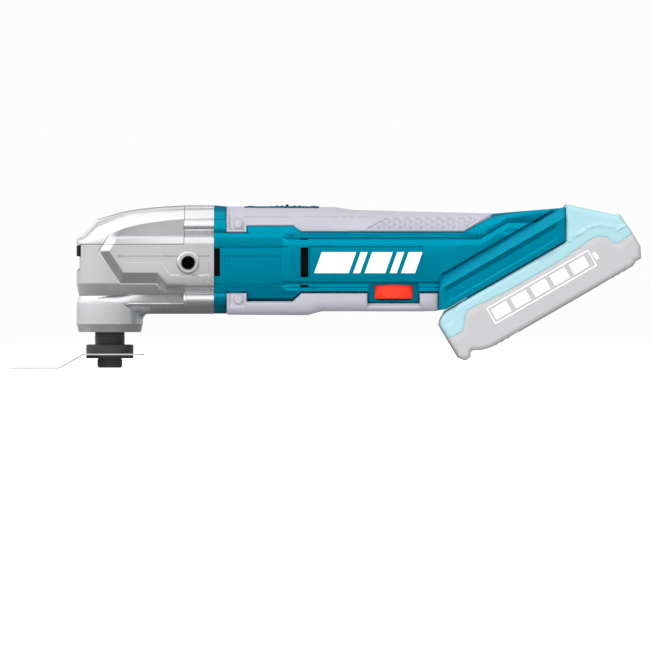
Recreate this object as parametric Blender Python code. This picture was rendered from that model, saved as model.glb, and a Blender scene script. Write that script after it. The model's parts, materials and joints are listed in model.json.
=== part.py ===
"""Cordless oscillating multi-tool with a slide-on battery pack, as an assembly of separate pieces.

Lengths are in millimetres in the tool's own frame and are turned into metres as each mesh is made.
In that frame X runs back from the spindle axis, Z runs up from the motor axis, and Y is 0 on the
parting plane of the two body shells, with the tool's left side at negative Y. The empty tool_frame
carries that frame to the part's origin: the middle of the outline's length and width, at the height
of the blade's underside. The pack is modelled in its own frame, tilted PACK_TILT, where X runs out
along the slide, Z is square to the slide and the foot of the tool is at Z = 0.
"""

import math

import bmesh
import bpy
from mathutils import Matrix, Vector

MM = 0.001
GAP = 0.3  # between pieces that rest on each other

# Spindle and the accessory clamped under it
SPINDLE_TOP = 17.0
SHAFT_R = 5.0
BEARING_SEAT_R = 6.0
NECK_R = 8.5
NECK_Z = (-41.0, -49.0)
FLANGE_R = 13.75
FLANGE_FACE_Z = -54.1
DRIVE_PINS = 6
DRIVE_PIN_R = 1.2
DRIVE_PIN_CIRCLE_R = 9.0
BLADE_TOP_Z = FLANGE_FACE_Z - 0.25
BLADE_THICK = 0.8
BLADE_DROP = 8.0
BLADE_X = (-59.5, 19.7)
BLADE_BEND_X = (-29.9, -15.5)
BLADE_HALF_WIDTH = 17.0
BLADE_TEETH = 20
WASHER_Z = (BLADE_TOP_Z - BLADE_THICK - 0.25, -57.0)
BOLT_HEAD_R = 7.0
BOLT_HEAD_Z = (WASHER_Z[1] - 0.25, -62.5)
BOLT_R = 2.9

# Gear head
HEAD_R = 19.4
HEAD_X = (-19.0, 61.5)
HEAD_SEAM = (43.7, 9.45)  # the cover's back edge in X, and its lower edge in Z
BARREL_Z = (-24.0, -37.4, -41.8)
HANDLE_BOSS = (46.0, -1.2)  # X and Z of the side handle's threaded boss
HANDLE_BOSS_R = (6.3, 4.0)  # outside, hole
HANDLE_BOSS_FACE_Y = 30.0
HANDLE_HOLE_DEPTH = 12.0

# Drive: the eccentric on the motor shaft swings a fork on the spindle
ECCENTRIC = 0.85
FORK_X = 33.0
FORK_INSIDE = 8.6
ECCENTRIC_BEARING_R = 6.4
ECCENTRIC_BEARING_X = (24.0, 30.0)

# Motor, along X
MOTOR_R = 19.0
MOTOR_CAN_X = (70.0, 128.0)
FAN_X = (58.5, 66.5)
FAN_R = 20.5
COMMUTATOR_X = (119.5, 127.0)
COMMUTATOR_R = 7.0
END_BELL_X = (128.3, 141.0)

# Body shells
BODY_X = (61.9, 264.3)
WALL = 2.5
PARTING = 0.15
GRIP_DEPTH = 1.7
HOLLOWS = ((67.0, 84.0), (87.0, 112.0), (115.0, 173.0), (175.0, 190.0))  # stretches between bulkheads
MOTOR_BORE_R = MOTOR_R + GAP
HEAD_SCREWS = ((17.0, 19.5), (16.5, -20.5))  # |Y| and Z of the four screws along X
SHELL_SCREWS = ((150.0, 12.0), (150.0, -9.0), (189.0, 10.0), (243.0, 19.5))

# Foot, and the pack that slides on it
PACK_TILT = math.radians(30.0)
FOOT_ORIGIN = (195.8, -28.5)  # X and Z where the foot's underside starts
FOOT_X = (191.6, 264.3)
FOOT_HALF_WIDTH = 38.0
FOOT_BAND = (10.0, 18.0)  # heights, square to the slide, of the foot's sloping band
FOOT_TOP_HALF_WIDTH = 26.0
RAIL_NECK_HALF = 21.6
RAIL_HEAD_HALF = 25.4
RAIL_STEP = 3.6
RAIL_TOP = 10.0
RAIL_X = (14.0, 84.0)
PACK_HALF_WIDTH = 38.0
PACK_WALL = 2.5
CELL_R = 9.15
CELL_HALF = 32.5
CELL_PITCH = 19.0
CELL_FIRST = (11.0, -18.7)  # X and Z in the pack
LATCH_TRAVEL = 3.5
LATCH_X = (92.6, 103.2)  # the button on the pack's sloping back
LATCH_HALF = 11.0
LATCH_BASE_Z = 4.6
LATCH_PROUD = 1.2

# Controls
SWITCH_UNIT = ((155.0, 178.0), (-8.0, 8.0), (8.0, 19.5))  # its reach in X, Y and Z
BOARD = ((156.0, 186.0), (-9.0, 16.0), (-1.0, 0.6))
SLIDER_X = (93.0, 115.0)
SLIDER_TRAVEL = 7.0
PLATE_X = (78.6, 122.1)
PLATE_HALF = 11.0
DIAL_R = 18.0
DIAL_CENTRE = (164.7, -8.0)  # X and Y
DIAL_Z = (-22.4, -14.2)
DIAL_POCKET_Y = -22.5


# ---------------------------------------------------------------- small geometry helpers


def between(table, x):
    """Straight-line interpolation in a list of (x, value) points."""
    if x <= table[0][0]:
        return table[0][1]
    for (x0, v0), (x1, v1) in zip(table, table[1:]):
        if x <= x1:
            return v0 + (v1 - v0) * (x - x0) / (x1 - x0)
    return table[-1][1]


def arc(cx, cy, r, start, end, steps):
    """Points on a circle from one angle to another, in degrees."""
    angles = [math.radians(start + (end - start) * i / steps) for i in range(steps + 1)]
    return [(cx + r * math.cos(a), cy + r * math.sin(a)) for a in angles]


def offset_outline(outline, distance):
    """A closed outline moved outwards by distance, with mitred corners."""
    area = sum(a[0] * b[1] - b[0] * a[1] for a, b in zip(outline, outline[1:] + outline[:1]))
    side = 1 if area > 0 else -1
    moved = []
    for before, here, after in zip(outline[-1:] + outline[:-1], outline, outline[1:] + outline[:1]):
        first = (Vector(here) - Vector(before)).normalized()
        second = (Vector(after) - Vector(here)).normalized()
        n1, n2 = Vector((first.y, -first.x)) * side, Vector((second.y, -second.x)) * side
        moved.append(tuple(Vector(here) + (n1 + n2) * distance / (1 + n1.dot(n2))))
    return moved


def new_object(name, bm, material=None, parent=None, location=(0, 0, 0), rotation=(0, 0, 0)):
    """An object from a bmesh in millimetres, in its parent's frame."""
    bmesh.ops.recalc_face_normals(bm, faces=bm.faces)
    bmesh.ops.scale(bm, vec=(MM, MM, MM), verts=bm.verts)
    mesh = bpy.data.meshes.new(name)
    bm.to_mesh(mesh)
    bm.free()
    mesh.shade_smooth()
    mesh.set_sharp_from_angle(angle=math.radians(32))
    obj = bpy.data.objects.new(name, mesh)
    bpy.context.scene.collection.objects.link(obj)
    if material:
        mesh.materials.append(material)
    obj.parent = parent
    obj.location = Vector(location) * MM
    obj.rotation_euler = rotation
    return obj


def new_empty(name, parent=None, location=(0, 0, 0), rotation=(0, 0, 0)):
    empty = bpy.data.objects.new(name, None)
    bpy.context.scene.collection.objects.link(empty)
    empty.parent = parent
    empty.location = Vector(location) * MM
    empty.rotation_euler = rotation
    return empty


def add_loft(bm, loops):
    """Joins equal closed loops of points end to end, with a face on each end."""
    rings = [[bm.verts.new(p) for p in loop] for loop in loops]
    count = len(rings[0])
    for first, second in zip(rings, rings[1:]):
        for i in range(count):
            j = (i + 1) % count
            bm.faces.new((first[i], first[j], second[j], second[i]))
    bm.faces.new(rings[0])
    bm.faces.new(rings[-1])
    return bm


def loft(loops):
    return add_loft(bmesh.new(), loops)


PLANES = {
    "XY": lambda a, b, c: (a, b, c),
    "XZ": lambda a, b, c: (a, c, b),
    "YZ": lambda a, b, c: (c, a, b),
}


def add_prism(bm, outline, low, high, plane="XY"):
    """An outline in one plane, extruded between two values of the third axis."""
    put = PLANES[plane]
    return add_loft(bm, [[put(a, b, c) for a, b in outline] for c in (low, high)])


def prism(outline, low, high, plane="XY"):
    return add_prism(bmesh.new(), outline, low, high, plane)


def rectangle(x0, x1, y0, y1):
    return [(x0, y0), (x1, y0), (x1, y1), (x0, y1)]


def add_box(bm, x, y, z):
    return add_prism(bm, rectangle(*x, *y), *z)


def box(x, y, z):
    return add_box(bmesh.new(), x, y, z)


def circle(r, count=24, cx=0.0, cy=0.0):
    return arc(cx, cy, r, 0, 360 - 360 / count, count - 1)


def turned(profile, count=28):
    """A (radius, height) profile turned about Z. It is closed through the axis where it ends on it."""
    bm = bmesh.new()
    rows = []
    for radius, height in profile:
        if radius < 1e-6:
            rows.append([bm.verts.new((0, 0, height))])
        else:
            rows.append([bm.verts.new((x, y, height)) for x, y in circle(radius, count)])
    pairs = list(zip(rows, rows[1:]))
    if len(rows[0]) > 1:
        pairs.append((rows[-1], rows[0]))
    for first, second in pairs:
        for i in range(count):
            j = (i + 1) % count
            corners = [first[i % len(first)], first[j % len(first)]]
            corners += [second[j % len(second)], second[i % len(second)]]
            unique = list(dict.fromkeys(corners))
            if len(unique) > 2:
                bm.faces.new(unique)
    return bm


def ring(r_out, r_in, low, high, count=28, edge=0.0):
    """A plain ring about Z, with its outer edges broken by edge."""
    profile = [(r_in, low), (r_out - edge, low), (r_out, low + edge)]
    profile += [(r_out, high - edge), (r_out - edge, high), (r_in, high)]
    if not edge:
        profile = [(r_in, low), (r_out, low), (r_out, high), (r_in, high)]
    return turned(profile, count)


def disc(r, low, high, count=28):
    return turned([(0, low), (r, low), (r, high), (0, high)], count)


ALONG_X = (0, math.radians(90), 0)  # turns a piece's own Z to the tool's X
ALONG_Y = (math.radians(-90), 0, 0)  # turns a piece's own Z to the tool's Y


def boolean(target, operand, operation, solver="EXACT"):
    """Keeps the operand as a helper and adds it to, or cuts it from, the target."""
    modifier = target.modifiers.new(operand.name, "BOOLEAN")
    modifier.operation = operation
    modifier.object = operand
    modifier.solver = solver
    operand.hide_render = True
    operand.display_type = "WIRE"
    return target


def cut(target, bm, name, **placing):
    placing.setdefault("parent", target.parent)
    return boolean(target, new_object(f"cut_{name}", bm, **placing), "DIFFERENCE")


def join(target, bm, name, **placing):
    placing.setdefault("parent", target.parent)
    return boolean(target, new_object(f"add_{name}", bm, **placing), "UNION")


def keep_inside(target, bm, name, **placing):
    placing.setdefault("parent", target.parent)
    return boolean(target, new_object(f"keep_{name}", bm, **placing), "INTERSECT")


# ---------------------------------------------------------------- materials

FINISHES = {
    "cast_alloy": ((0.60, 0.60, 0.61), 0.38, 0.75),
    "teal_plastic": ((0.0, 0.255, 0.36), 0.38, 0.0),
    "grey_rubber": ((0.56, 0.56, 0.63), 0.65, 0.0),
    "orange_plastic": ((0.95, 0.055, 0.015), 0.35, 0.0),
    "black_plastic": ((0.018, 0.018, 0.02), 0.45, 0.0),
    "smoked_lens": ((0.02, 0.02, 0.025), 0.12, 0.0),
    "black_steel": ((0.045, 0.045, 0.048), 0.42, 0.8),
    "blade_steel": ((0.62, 0.62, 0.62), 0.28, 1.0),
    "bright_steel": ((0.55, 0.56, 0.58), 0.25, 1.0),
    "motor_steel": ((0.33, 0.34, 0.36), 0.4, 1.0),
    "ferrite": ((0.05, 0.05, 0.055), 0.7, 0.0),
    "copper": ((0.72, 0.35, 0.18), 0.3, 1.0),
    "carbon": ((0.03, 0.03, 0.03), 0.6, 0.0),
    "circuit_board": ((0.02, 0.16, 0.06), 0.5, 0.0),
    "pale_cyan_plastic": ((0.48, 0.76, 0.82), 0.42, 0.0),
    "pale_grey_plastic": ((0.60, 0.60, 0.61), 0.45, 0.0),
    "cell_wrap": ((0.05, 0.22, 0.5), 0.35, 0.0),
}
MATERIALS = {}


def make_materials():
    for name, (colour, roughness, metallic) in FINISHES.items():
        material = bpy.data.materials.new(name)
        material.use_nodes = True
        shader = material.node_tree.nodes["Principled BSDF"]
        shader.inputs["Base Color"].default_value = (*colour, 1)
        shader.inputs["Roughness"].default_value = roughness
        shader.inputs["Metallic"].default_value = metallic
        material.diffuse_color = (*colour, 1)
        MATERIALS[name] = material


# ---------------------------------------------------------------- the outer form of head and body

TOP_LINE = [
    (-19.0, 10.5), (-17.8, 13.2), (-14.7, 14.6), (-7.6, 23.7), (6.4, 28.7), (20.5, 30.6),
    (43.7, 32.0), (61.5, 32.0), (66.0, 31.4), (130.8, 31.0), (141.8, 29.0), (192.3, 27.3),
    (223.6, 27.1), (262.6, 30.3), (264.3, 30.3),
]
BOTTOM_LINE = [
    (-19.0, -31.0), (61.5, -31.0), (80.0, -31.3), (116.3, -31.3), (122.8, -29.2), (190.0, -29.2), (192.3, -29.2),
]
FLARE = [(0.0, 19.0), (12.0, 20.6), (24.0, 24.0), (36.0, 27.2), (48.0, 28.4), (61.5, 28.6)]
SIDE = [(61.5, 28.6), (100.0, 28.6), (116.0, 27.6), (150.0, 27.0), (192.0, 27.0), (230.0, 28.0), (264.3, 29.0)]
SQUARENESS = [(0.0, 5.5), (20.0, 3.6), (45.0, 2.9), (66.0, 2.7), (190.0, 2.7), (220.0, 3.2)]
SECTION_STEPS = 11


def foot_z(x, height=0.0):
    """Z, at X in the tool's frame, of the line this high above the foot's underside."""
    return FOOT_ORIGIN[1] + (x - FOOT_ORIGIN[0]) * math.tan(PACK_TILT) + height / math.cos(PACK_TILT)


def half_width(x):
    if x < 0:
        return math.sqrt(max(HEAD_R - 0.4, abs(x)) ** 2 - x * x + 1.0)
    return between(FLARE, x) if x < FLARE[-1][0] else between(SIDE, x)


def bottom(x):
    if x <= 190.0:
        return between(BOTTOM_LINE, x)
    return max(between(BOTTOM_LINE, x), foot_z(x, FOOT_BAND[0] + 2.0))


def half_section(x, inset=0.0, parting=0.0):
    """(y, z) from the top centre round the left side to the bottom centre, inset from the skin."""
    top_z, low_z = between(TOP_LINE, x) - inset, bottom(x) + inset
    width, middle = half_width(x) - inset, (top_z + low_z) / 2
    height, power = (top_z - low_z) / 2, 2 / between(SQUARENESS, x)
    points = []
    for i in range(SECTION_STEPS + 1):
        a = math.pi * i / SECTION_STEPS
        y = width * abs(math.sin(a)) ** power
        z = middle + height * math.copysign(abs(math.cos(a)) ** power, math.cos(a))
        points.append((-max(y, parting), z))
    return points


def whole_section(x, inset=0.0):
    """The closed outline on both sides, as points in space."""
    left = half_section(x, inset)
    right = [(-y, z) for y, z in reversed(left[1:-1])]
    return [(x, y, z) for y, z in left + right]


def side_layer(side, outer, inner, xs):
    """A C-shaped layer on one side, between two insets from the skin."""
    loops = []
    for x in xs:
        skin, core = half_section(x, outer, PARTING), half_section(x, inner, PARTING)
        loops.append([(x, y * -side, z) for y, z in skin + core[::-1]])
    return loft(loops)


def side_solid(side, xs):
    """Half of the filled body, on one side of the parting plane."""
    return loft([[(x, y * -side, z) for y, z in half_section(x, 0.0, PARTING)] for x in xs])


def stations(x0, x1, extra=()):
    """X places for sections, every 16 mm or so and at each bend of the outline between x0 and x1."""
    bends = [p[0] for p in TOP_LINE + BOTTOM_LINE + SIDE if x0 < p[0] < x1]
    regular = [x0 + (x1 - x0) * i / max(1, round((x1 - x0) / 16)) for i in range(1 + max(1, round((x1 - x0) / 16)))]
    found = sorted(set([x0, x1, *extra, *bends]))
    for x in regular:
        if min(abs(x - y) for y in found) > 5:
            found.append(x)
    return sorted(found)


# ---------------------------------------------------------------- spindle body


def make_spindle(axis):
    profile = [
        (0, SPINDLE_TOP), (SHAFT_R - 0.5, SPINDLE_TOP), (SHAFT_R, SPINDLE_TOP - 0.5), (SHAFT_R, -29.8),
        (BEARING_SEAT_R, -29.8), (BEARING_SEAT_R, NECK_Z[0]), (NECK_R, NECK_Z[0]), (NECK_R, NECK_Z[1]),
        (FLANGE_R - 0.6, NECK_Z[1]), (FLANGE_R, NECK_Z[1] - 0.6), (FLANGE_R, FLANGE_FACE_Z),
        (BOLT_R + GAP, FLANGE_FACE_Z), (BOLT_R + GAP, -34.0), (0, -34.0),
    ]
    spindle = new_object("spindle", turned(profile, 32), MATERIALS["black_steel"], axis)
    pins = bmesh.new()
    for i in range(DRIVE_PINS):
        a = math.tau * i / DRIVE_PINS
        centre = (DRIVE_PIN_CIRCLE_R * math.cos(a), DRIVE_PIN_CIRCLE_R * math.sin(a))
        add_prism(pins, circle(DRIVE_PIN_R, 10, *centre), FLANGE_FACE_Z - 1.0, FLANGE_FACE_Z + 1.0)
    join(spindle, pins, "drive_pins")


def blade_outline():
    """The blade seen from above, with its saw teeth across the front."""
    front, back = BLADE_X
    pitch = 2 * BLADE_HALF_WIDTH / BLADE_TEETH
    outline = [(back - 4, -BLADE_HALF_WIDTH)] + arc(back - 4, -BLADE_HALF_WIDTH + 4, 4, -60, 0, 2)
    outline += arc(back - 4, BLADE_HALF_WIDTH - 4, 4, 0, 90, 3)
    for i in range(BLADE_TEETH):
        y = BLADE_HALF_WIDTH - i * pitch
        outline += [(front + 1.3, y), (front, y - pitch / 2)]
    return outline + [(front + 1.3, -BLADE_HALF_WIDTH)]


def bend_blade(bm):
    """Folds the flat blade down by BLADE_DROP between its two bends."""
    for x in BLADE_BEND_X:
        everything = bm.verts[:] + bm.edges[:] + bm.faces[:]
        bmesh.ops.bisect_plane(bm, geom=everything, plane_co=(x, 0, 0), plane_no=(1, 0, 0))
    for v in bm.verts:
        v.co.z -= between([(BLADE_BEND_X[0], BLADE_DROP), (BLADE_BEND_X[1], 0.0)], v.co.x)


def make_accessory(axis):
    bm = prism(blade_outline(), BLADE_TOP_Z - BLADE_THICK, BLADE_TOP_Z)
    bend_blade(bm)
    blade = new_object("saw_blade", bm, MATERIALS["blade_steel"], axis)
    holes = bmesh.new()
    add_prism(holes, circle(BOLT_R + 0.5, 16), BLADE_TOP_Z - 3, BLADE_TOP_Z + 3)
    for i in range(DRIVE_PINS):
        a = math.tau * i / DRIVE_PINS
        centre = (DRIVE_PIN_CIRCLE_R * math.cos(a), DRIVE_PIN_CIRCLE_R * math.sin(a))
        add_prism(holes, circle(DRIVE_PIN_R + 0.4, 10, *centre), BLADE_TOP_Z - 3, BLADE_TOP_Z + 3)
    cut(blade, holes, "blade_holes")
    washer = ring(FLANGE_R, BOLT_R + 0.4, WASHER_Z[1], WASHER_Z[0], 32, 0.4)
    new_object("clamp_washer", washer, MATERIALS["black_steel"], axis)
    profile = [
        (0, -36.0), (BOLT_R - 0.4, -36.0), (BOLT_R, -36.4), (BOLT_R, BOLT_HEAD_Z[0]),
        (BOLT_HEAD_R, BOLT_HEAD_Z[0]), (BOLT_HEAD_R, BOLT_HEAD_Z[1] + 0.5),
        (BOLT_HEAD_R - 0.5, BOLT_HEAD_Z[1]), (0, BOLT_HEAD_Z[1]),
    ]
    bolt = new_object("clamp_bolt", turned(profile, 28), MATERIALS["black_steel"], axis)
    hexagon = circle(2.9, 6)
    cut(bolt, prism(hexagon, BOLT_HEAD_Z[1] - 2, BOLT_HEAD_Z[1] + 3.4), "hex_socket")


def make_fork(axis):
    outline = arc(0, 0, 11.0, 80, 280, 12)
    outline += [(FORK_X, -12.4), (FORK_X, -FORK_INSIDE), (15.0, -FORK_INSIDE), (11.5, -5.0)]
    outline += [(11.5, 5.0), (15.0, FORK_INSIDE), (FORK_X, FORK_INSIDE), (FORK_X, 12.4)]
    fork = new_object("oscillating_fork", prism(outline, -5.0, 5.0), MATERIALS["bright_steel"], axis)
    cut(fork, prism(circle(SHAFT_R + GAP, 28), -8, 8), "fork_bore")


# ---------------------------------------------------------------- rotor body


def make_rotor(axis):
    """Pieces on the motor shaft, turned about their own Z, which the axis empty lays along X."""
    steel = MATERIALS["bright_steel"]
    profile = [
        (0, 38.0), (4.0, 38.0), (4.0, 66.8), (4.6, 66.8), (4.6, 132.0), (3.0, 132.0), (3.0, 140.0), (0, 140.0),
    ]
    shaft = new_object("rotor_shaft", turned(profile, 20), steel, axis)
    pin = prism(circle(3.0, 16, cx=-ECCENTRIC), 23.0, 40.0)
    join(shaft, pin, "eccentric_pin")
    bearing = ring(ECCENTRIC_BEARING_R, 3.0 + GAP, *ECCENTRIC_BEARING_X, 28, 0.6)
    new_object("eccentric_bearing", bearing, steel, axis, (-ECCENTRIC, 0, 0))
    weight = arc(0, 0, 9.5, -75, 75, 8) + arc(0, 0, 4.4, 75, -75, 8)
    new_object("counterweight", prism(weight, 38.6, 44.6), steel, axis)

    fan = ring(FAN_R, 4.0 + GAP, FAN_X[1] - 1.6, FAN_X[1], 28)
    fan = new_object("cooling_fan", fan, MATERIALS["black_plastic"], axis)
    blades = bmesh.new()
    for i in range(11):
        turn = Matrix.Rotation(math.tau * i / 11, 4, "Z")
        vane = box((8.0, FAN_R - 0.8), (-0.6, 0.6), (FAN_X[0], FAN_X[1] - 0.6))
        bmesh.ops.rotate(vane, verts=vane.verts, cent=(0, 0, 0), matrix=turn.to_3x3())
        mesh = bpy.data.meshes.new("vane")
        vane.to_mesh(mesh)
        vane.free()
        blades.from_mesh(mesh)
        bpy.data.meshes.remove(mesh)
    join(fan, blades, "fan_blades")

    outline = []
    for i in range(7):
        a = 360 / 7 * i
        outline += arc(0, 0, 14.4, a - 20, a + 20, 4)
        outline += arc(0, 0, 8.5, a + 23.5, a + 27.9, 1)
    core = new_object("armature_core", prism(outline, 79.0, 112.0), MATERIALS["motor_steel"], axis)
    cut(core, prism(circle(4.6 + GAP, 20), 70, 120), "core_bore")
    windings = turned([(6.0, 112.4), (11.0, 112.4), (12.6, 114.2), (11.0, 117.0), (6.0, 118.0)], 20)
    new_object("armature_winding", windings, MATERIALS["copper"], axis)
    drum = ring(COMMUTATOR_R, 4.6 + GAP, *COMMUTATOR_X, 28, 0.3)
    new_object("commutator", drum, MATERIALS["copper"], axis)


# ---------------------------------------------------------------- motor and bearings, fixed


def make_motor(tool):
    steel = MATERIALS["motor_steel"]
    front, back = MOTOR_CAN_X
    profile = [
        (5.4, front), (MOTOR_R - 1.5, front), (MOTOR_R, front + 1.5), (MOTOR_R, back), (MOTOR_R - 1.3, back),
        (MOTOR_R - 1.3, front + 1.6), (5.4, front + 1.6),
    ]
    new_object("motor_can", turned(profile, 36), steel, tool, rotation=ALONG_X)
    for name, start in (("stator_magnet_right", -60), ("stator_magnet_left", 120)):
        sector = arc(0, 0, 17.4, start + 90, start + 210, 12) + arc(0, 0, 15.0, start + 210, start + 90, 12)
        new_object(name, prism(sector, 78.0, 114.0), MATERIALS["ferrite"], tool, rotation=ALONG_X)
    near, far = END_BELL_X
    profile = [
        (9.0, near), (MOTOR_R, near), (MOTOR_R, near + 6.0), (13.0, far), (7.4, far), (7.4, near + 4.0), (9.0, near + 4.0),
    ]
    new_object("motor_end_bell", turned(profile, 36), MATERIALS["black_plastic"], tool, rotation=ALONG_X)
    for name, side in (("carbon_brush_left", -1), ("carbon_brush_right", 1)):
        reach = sorted((side * (COMMUTATOR_R + GAP), side * 16.0))
        block = box((COMMUTATOR_X[0] + 1, COMMUTATOR_X[1] - 1), reach, (-2.5, 2.5))
        new_object(name, block, MATERIALS["carbon"], tool)
    steel = MATERIALS["bright_steel"]
    new_object("motor_front_bearing", ring(9.5, 4.0 + GAP, 49.3, 55.7, 28, 0.5), steel, tool, rotation=ALONG_X)
    new_object("motor_rear_bearing", ring(7.1, 3.0 + GAP, 134.0, 139.0, 28, 0.5), steel, tool, rotation=ALONG_X)
    new_object("spindle_upper_bearing", ring(8.5, SHAFT_R + GAP, 9.0, 15.0, 28, 0.5), steel, tool)
    new_object("spindle_lower_bearing", ring(13.0, BEARING_SEAT_R + GAP, -38.6, -30.2, 32, 0.6), steel, tool)
    seal = ring(13.0, NECK_R + GAP, -41.6, -40.2, 32)
    new_object("spindle_seal", seal, MATERIALS["black_plastic"], tool)


# ---------------------------------------------------------------- gear head

HEAD_STATIONS = [-19.0, -18.2, -16.2, -13.0, -8.5, -3.0, 3.0, 9.5, 17.0, 25.0, 34.0, 43.0, 52.0, 61.5]
HEAD_WALL = 3.2


def head_solid():
    return loft([whole_section(x) for x in HEAD_STATIONS])


def head_hollow():
    """The gear chamber inside head and cover, open at the back through the bearing wall only."""
    xs = [x for x in HEAD_STATIONS if -14 < x < 44] + [45.5]
    return loft([whole_section(x, HEAD_WALL) for x in xs])


def cover_block(edge):
    """Where the cover is: ahead of the seam's back edge and above its lower edge, less edge."""
    return box((-40, HEAD_SEAM[0] - edge), (-50, 50), (HEAD_SEAM[1] + edge, 60))


def make_head(tool):
    alloy = MATERIALS["cast_alloy"]
    housing = new_object("gear_head_housing", head_solid(), alloy, tool)
    cut(housing, head_hollow(), "gear_chamber")
    cut(housing, cover_block(0.0), "cover_seat")
    high, shoulder, low = BARREL_Z
    barrel = [(0, high - 2.0), (HEAD_R, high - 2.0), (HEAD_R, shoulder), (HEAD_R - 1.2, low), (0, low)]
    join(housing, turned(barrel, 36), "spindle_barrel")
    bore = [
        (0, -20.0), (12.0, -20.0), (12.0, -30.0), (13.2, -30.0), (13.2, low - 2), (0, low - 2),
    ]
    cut(housing, turned(bore, 32), "spindle_bore")
    radius, face = HANDLE_BOSS_R[0], HANDLE_BOSS_FACE_Y
    bosses, holes = bmesh.new(), bmesh.new()
    for side in (-1, 1):
        add_prism(bosses, circle(radius, 24, *HANDLE_BOSS), side * 17.0, side * face, "XZ")
        add_prism(holes, circle(HANDLE_BOSS_R[1], 24, *HANDLE_BOSS), side * (face - HANDLE_HOLE_DEPTH), side * (face + 2), "XZ")
    join(housing, bosses, "handle_bosses")
    cut(housing, holes, "handle_holes")
    bearing_bore = [(0, 40.0), (8.0, 40.0), (8.0, 49.0), (9.7, 49.0), (9.7, 57.0), (FAN_R + 1.5, 57.0), (FAN_R + 1.5, 63.0), (0, 63.0)]
    cut(housing, turned(bearing_bore, 32), "shaft_bore", rotation=ALONG_X)
    screw_holes = bmesh.new()
    for y, z in HEAD_SCREWS:
        for side in (-1, 1):
            add_prism(screw_holes, circle(2.3, 12, side * y, z), 46.9, 64.0, "YZ")
    cut(housing, screw_holes, "head_screw_holes")
    window = window_sector(17.0, HEAD_R + 2, 0.0, 0.3)
    cut(housing, prism(window, 2.0, HEAD_SEAM[1] + 1), "lamp_seat")

    cover = new_object("head_top_cover", head_solid(), alloy, tool)
    cut(cover, head_hollow(), "cover_inside")
    keep_inside(cover, cover_block(GAP / 2), "cover")
    boss = [(0, 9.8), (11.0, 9.8), (11.0, 16.0), (4.5, 23.5), (0, 23.5)]
    join(cover, turned(boss, 28), "bearing_boss")
    cut(cover, disc(8.7, 5.0, 18.0, 28), "bearing_seat")
    lens = prism(window_sector(17.3, HEAD_R - 0.2, 1.0, 0.0), 2.4, HEAD_SEAM[1] - 0.3)
    new_object("lamp_window", lens, MATERIALS["smoked_lens"], tool)


def window_sector(r_in, r_out, less, more):
    """The work lamp's window, seen from above: a short arc round the front of the head."""
    half = 22.0 - less + more
    return arc(0, 0, r_out, 180 - half, 180 + half, 6) + arc(0, 0, r_in, 180 + half, 180 - half, 6)


# ---------------------------------------------------------------- body shells and grips

UPPER_GRIP = [
    (68.2, 60.0), (68.2, 16.5), (80.0, 16.5), (80.0, 20.7), (106.5, 20.7), (111.3, 16.8), (205.9, 16.8),
    (223.6, 27.2), (223.6, 60.0),
]
LOWER_GRIP = [
    (68.2, -60.0), (68.2, -19.2), (80.0, -19.2), (80.0, -23.8), (106.5, -23.8), (111.6, -19.7), (149.8, -19.7),
    (149.8, -26.4), (180.0, -26.4), (180.0, -19.5), (190.4, -19.5), (190.4, -60.0),
]
GRIPS = (("upper_grip", UPPER_GRIP), ("lower_grip", LOWER_GRIP))
VENTS = (
    rectangle(111.2, 115.4, -10.0, 7.2), rectangle(111.2, 115.4, 11.7, 13.2), rectangle(111.2, 115.4, -16.0, -14.2),
    rectangle(62.6, 64.6, -9.5, 7.0),
)


def foot_loop(x, half, top_half, low, shoulder, high, side):
    """One side of the foot in a vertical plane: low, shoulder and high are square to the slide."""
    inner = PARTING * side
    flat = [(half * side, low), (half * side, shoulder), (top_half * side, high), (inner, high), (inner, low)]
    return [(x, y, foot_z(x, v)) for y, v in flat]


def side_name(side):
    return "left" if side < 0 else "right"


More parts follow.
